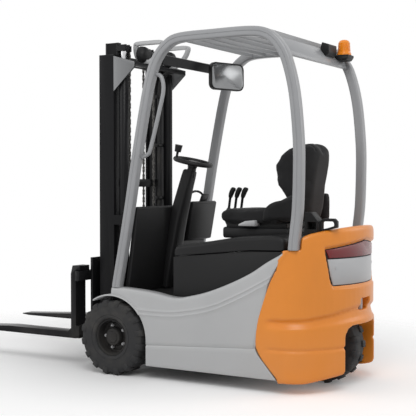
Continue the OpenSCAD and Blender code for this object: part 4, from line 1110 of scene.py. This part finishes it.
def leaf_chain(node):
    """Both runs of a chain in place of a node, bending between the two bodies that hold its ends."""
    low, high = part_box(node)
    x, y = (low.x + high.x) / 2, high.y - 0.009
    count = round((high.z - low.z) / LINK_PAIR)
    pitch = (high.z - low.z - 2 * END_GAP) / (2 * count)
    plates = []
    for start, sides in ((0, ((-0.0087, -0.0053), (0.0053, 0.0087))),
                         (pitch, ((-0.0048, -0.0004), (0.0004, 0.0048)))):
        outline = [(0.0026, -0.0045), (0.0046, -0.001), (0.0046, 0.002), (0.0034, pitch / 2),
                   (0.0046, pitch - 0.002), (0.0046, pitch + 0.001), (0.0026, pitch + 0.0045)]
        outline += [(-u, v) for u, v in reversed(outline)]
        for near, far in sides:
            plates.append(loft("plate", [[(x + u, y + side, low.z + END_GAP + start + v) for u, v in outline]
                                         for side in (near, far)]))
        plates.append(round_bar("pin", (x, y, low.z + END_GAP + start), 0.0026, 0.0178,
                                (math.pi / 2, 0, 0), 10))
    run = join(*plates)
    run.name = node + "_piece"
    modify(run, "ARRAY", count=count, use_relative_offset=False, use_constant_offset=True,
           constant_offset_displace=(0, 0, 2 * pitch))
    join(run, mirrored(run, "other_run"))
    run.data.materials.clear()
    run.data.materials.append(oiled.material)
    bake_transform(run)
    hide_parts(node)


leaf_chain("chain_back")
leaf_chain("chain_front")

# Hydraulic hoses: two rubber hoses in plastic clips along the right rail, from the lower cross bar over
# to the top one. A crimped ferrule at each end joins them to the bars.
HOSE_R = 0.0095
HOSE_GAP = 0.024
hose_x = RAIL_X + axle.x - 0.020
hose_run = [(-0.077, -0.205, 0.425), (-0.055, -0.205, 0.427), (-0.027, -0.205, 0.445),
            (-0.007, -0.205, 0.478), (0.0, -0.205, 0.530), (0.0, -0.205, 0.80), (-0.002, -0.203, 1.20),
            (0.0, -0.205, 1.60), (-0.001, -0.204, 1.74), (-0.014, -0.199, 1.820), (-0.045, -0.192, 1.866),
            (-0.085, -0.188, 1.886), (-0.126, -0.188, 1.890)]
hoses = []
for offset in (0.0, HOSE_GAP):
    line = smooth_line([(hose_x + back, out + offset, z) for back, out, z in hose_run], 6)
    hoses.append(pipe("hose", line, HOSE_R))
    for end, turn in ((line[0], 0.026), (line[-1], 0.022)):
        ferrule = round_bar("ferrule", end + Vector((turn, 0, 0)), 0.0125, 0.028, (0, math.pi / 2, 0), 24)
        soften(ferrule, 0.0015, 2)
        hoses.append(ferrule)
hose = join(*hoses)
hose.name = "mast_hoses"
finish_piece(hose, rubber.material, "outer_mast", "tyre")
clips = []
for z in (0.70, 1.05, 1.40, 1.72):
    clip = block("clip", (hose_x - 0.013, -0.222, z), (RAIL_X + axle.x + 0.001, -0.164, z + 0.022))
    soften(clip, 0.004, 2)
    clips.append(clip)
join(*clips)
clips[0].name = "hose_clips"
finish_piece(clips[0], black_plastic, "outer_mast", "black_plastic")

# Mirror: silvered glass with a thin film of dust, held in the rim of a black moulded housing on the
# roof's front beam.
broken_edges("mirror_housing", black_plastic, 0.004)
silver = Finish("mirror")
film = silver.noise(14.0, 4.0)
silver.set(Base_Color=silver.tint(film, (0.22, 0.225, 0.23, 1), (0.32, 0.325, 0.33, 1)), Metallic=0.9,
           Roughness=0.16 + 0.12 * film)
broken_edges("mirror_glass", silver.material, 0.0012, 2)

# Beacon: a ribbed dome of amber plastic, screwed on a black foot at the guard's right rear corner, with a
# small black lamp box beside it.
broken_edges("beacon_base", black_plastic, 0.004)
amber = Finish("amber")
streak = amber.noise(40.0, 3.0)
amber.set(Base_Color=amber.tint(streak, (0.80, 0.20, 0.006, 1), (0.95, 0.33, 0.020, 1)),
          Roughness=0.16 + 0.08 * streak)
amber.bump(streak, 0.1, 0.0006)
lens_low, lens_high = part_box("beacon_lens")
lens_middle = (lens_low + lens_high) / 2
lens_r = (lens_high.x - lens_low.x) / 2
dome = [(0.0004, lens_low.z), (lens_r, lens_low.z), (lens_r, lens_low.z + 0.010),
        (lens_r - 0.004, lens_low.z + 0.012)]
for ring in range(7):
    z = lens_low.z + 0.016 + ring * 0.009
    dome += [(lens_r - 0.0045 - ring * 0.0006, z), (lens_r - 0.0045 - ring * 0.0006, z + 0.005),
             (lens_r - 0.0065 - ring * 0.0006, z + 0.007)]
for step in range(1, 7):
    a = math.radians(15 * step)
    dome.append((max(0.0004, (lens_r - 0.0105) * math.cos(a)), lens_high.z - 0.020 + 0.0195 * math.sin(a)))
lens = turned("beacon_lens_piece", dome, (lens_middle.x, lens_middle.y, 0), 40, "Z", False, 0.001)
bpy.ops.object.shade_smooth_by_angle(angle=math.radians(40))
finish_piece(lens, amber.material, "chassis", "amber", "beacon_lens")

low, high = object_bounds()
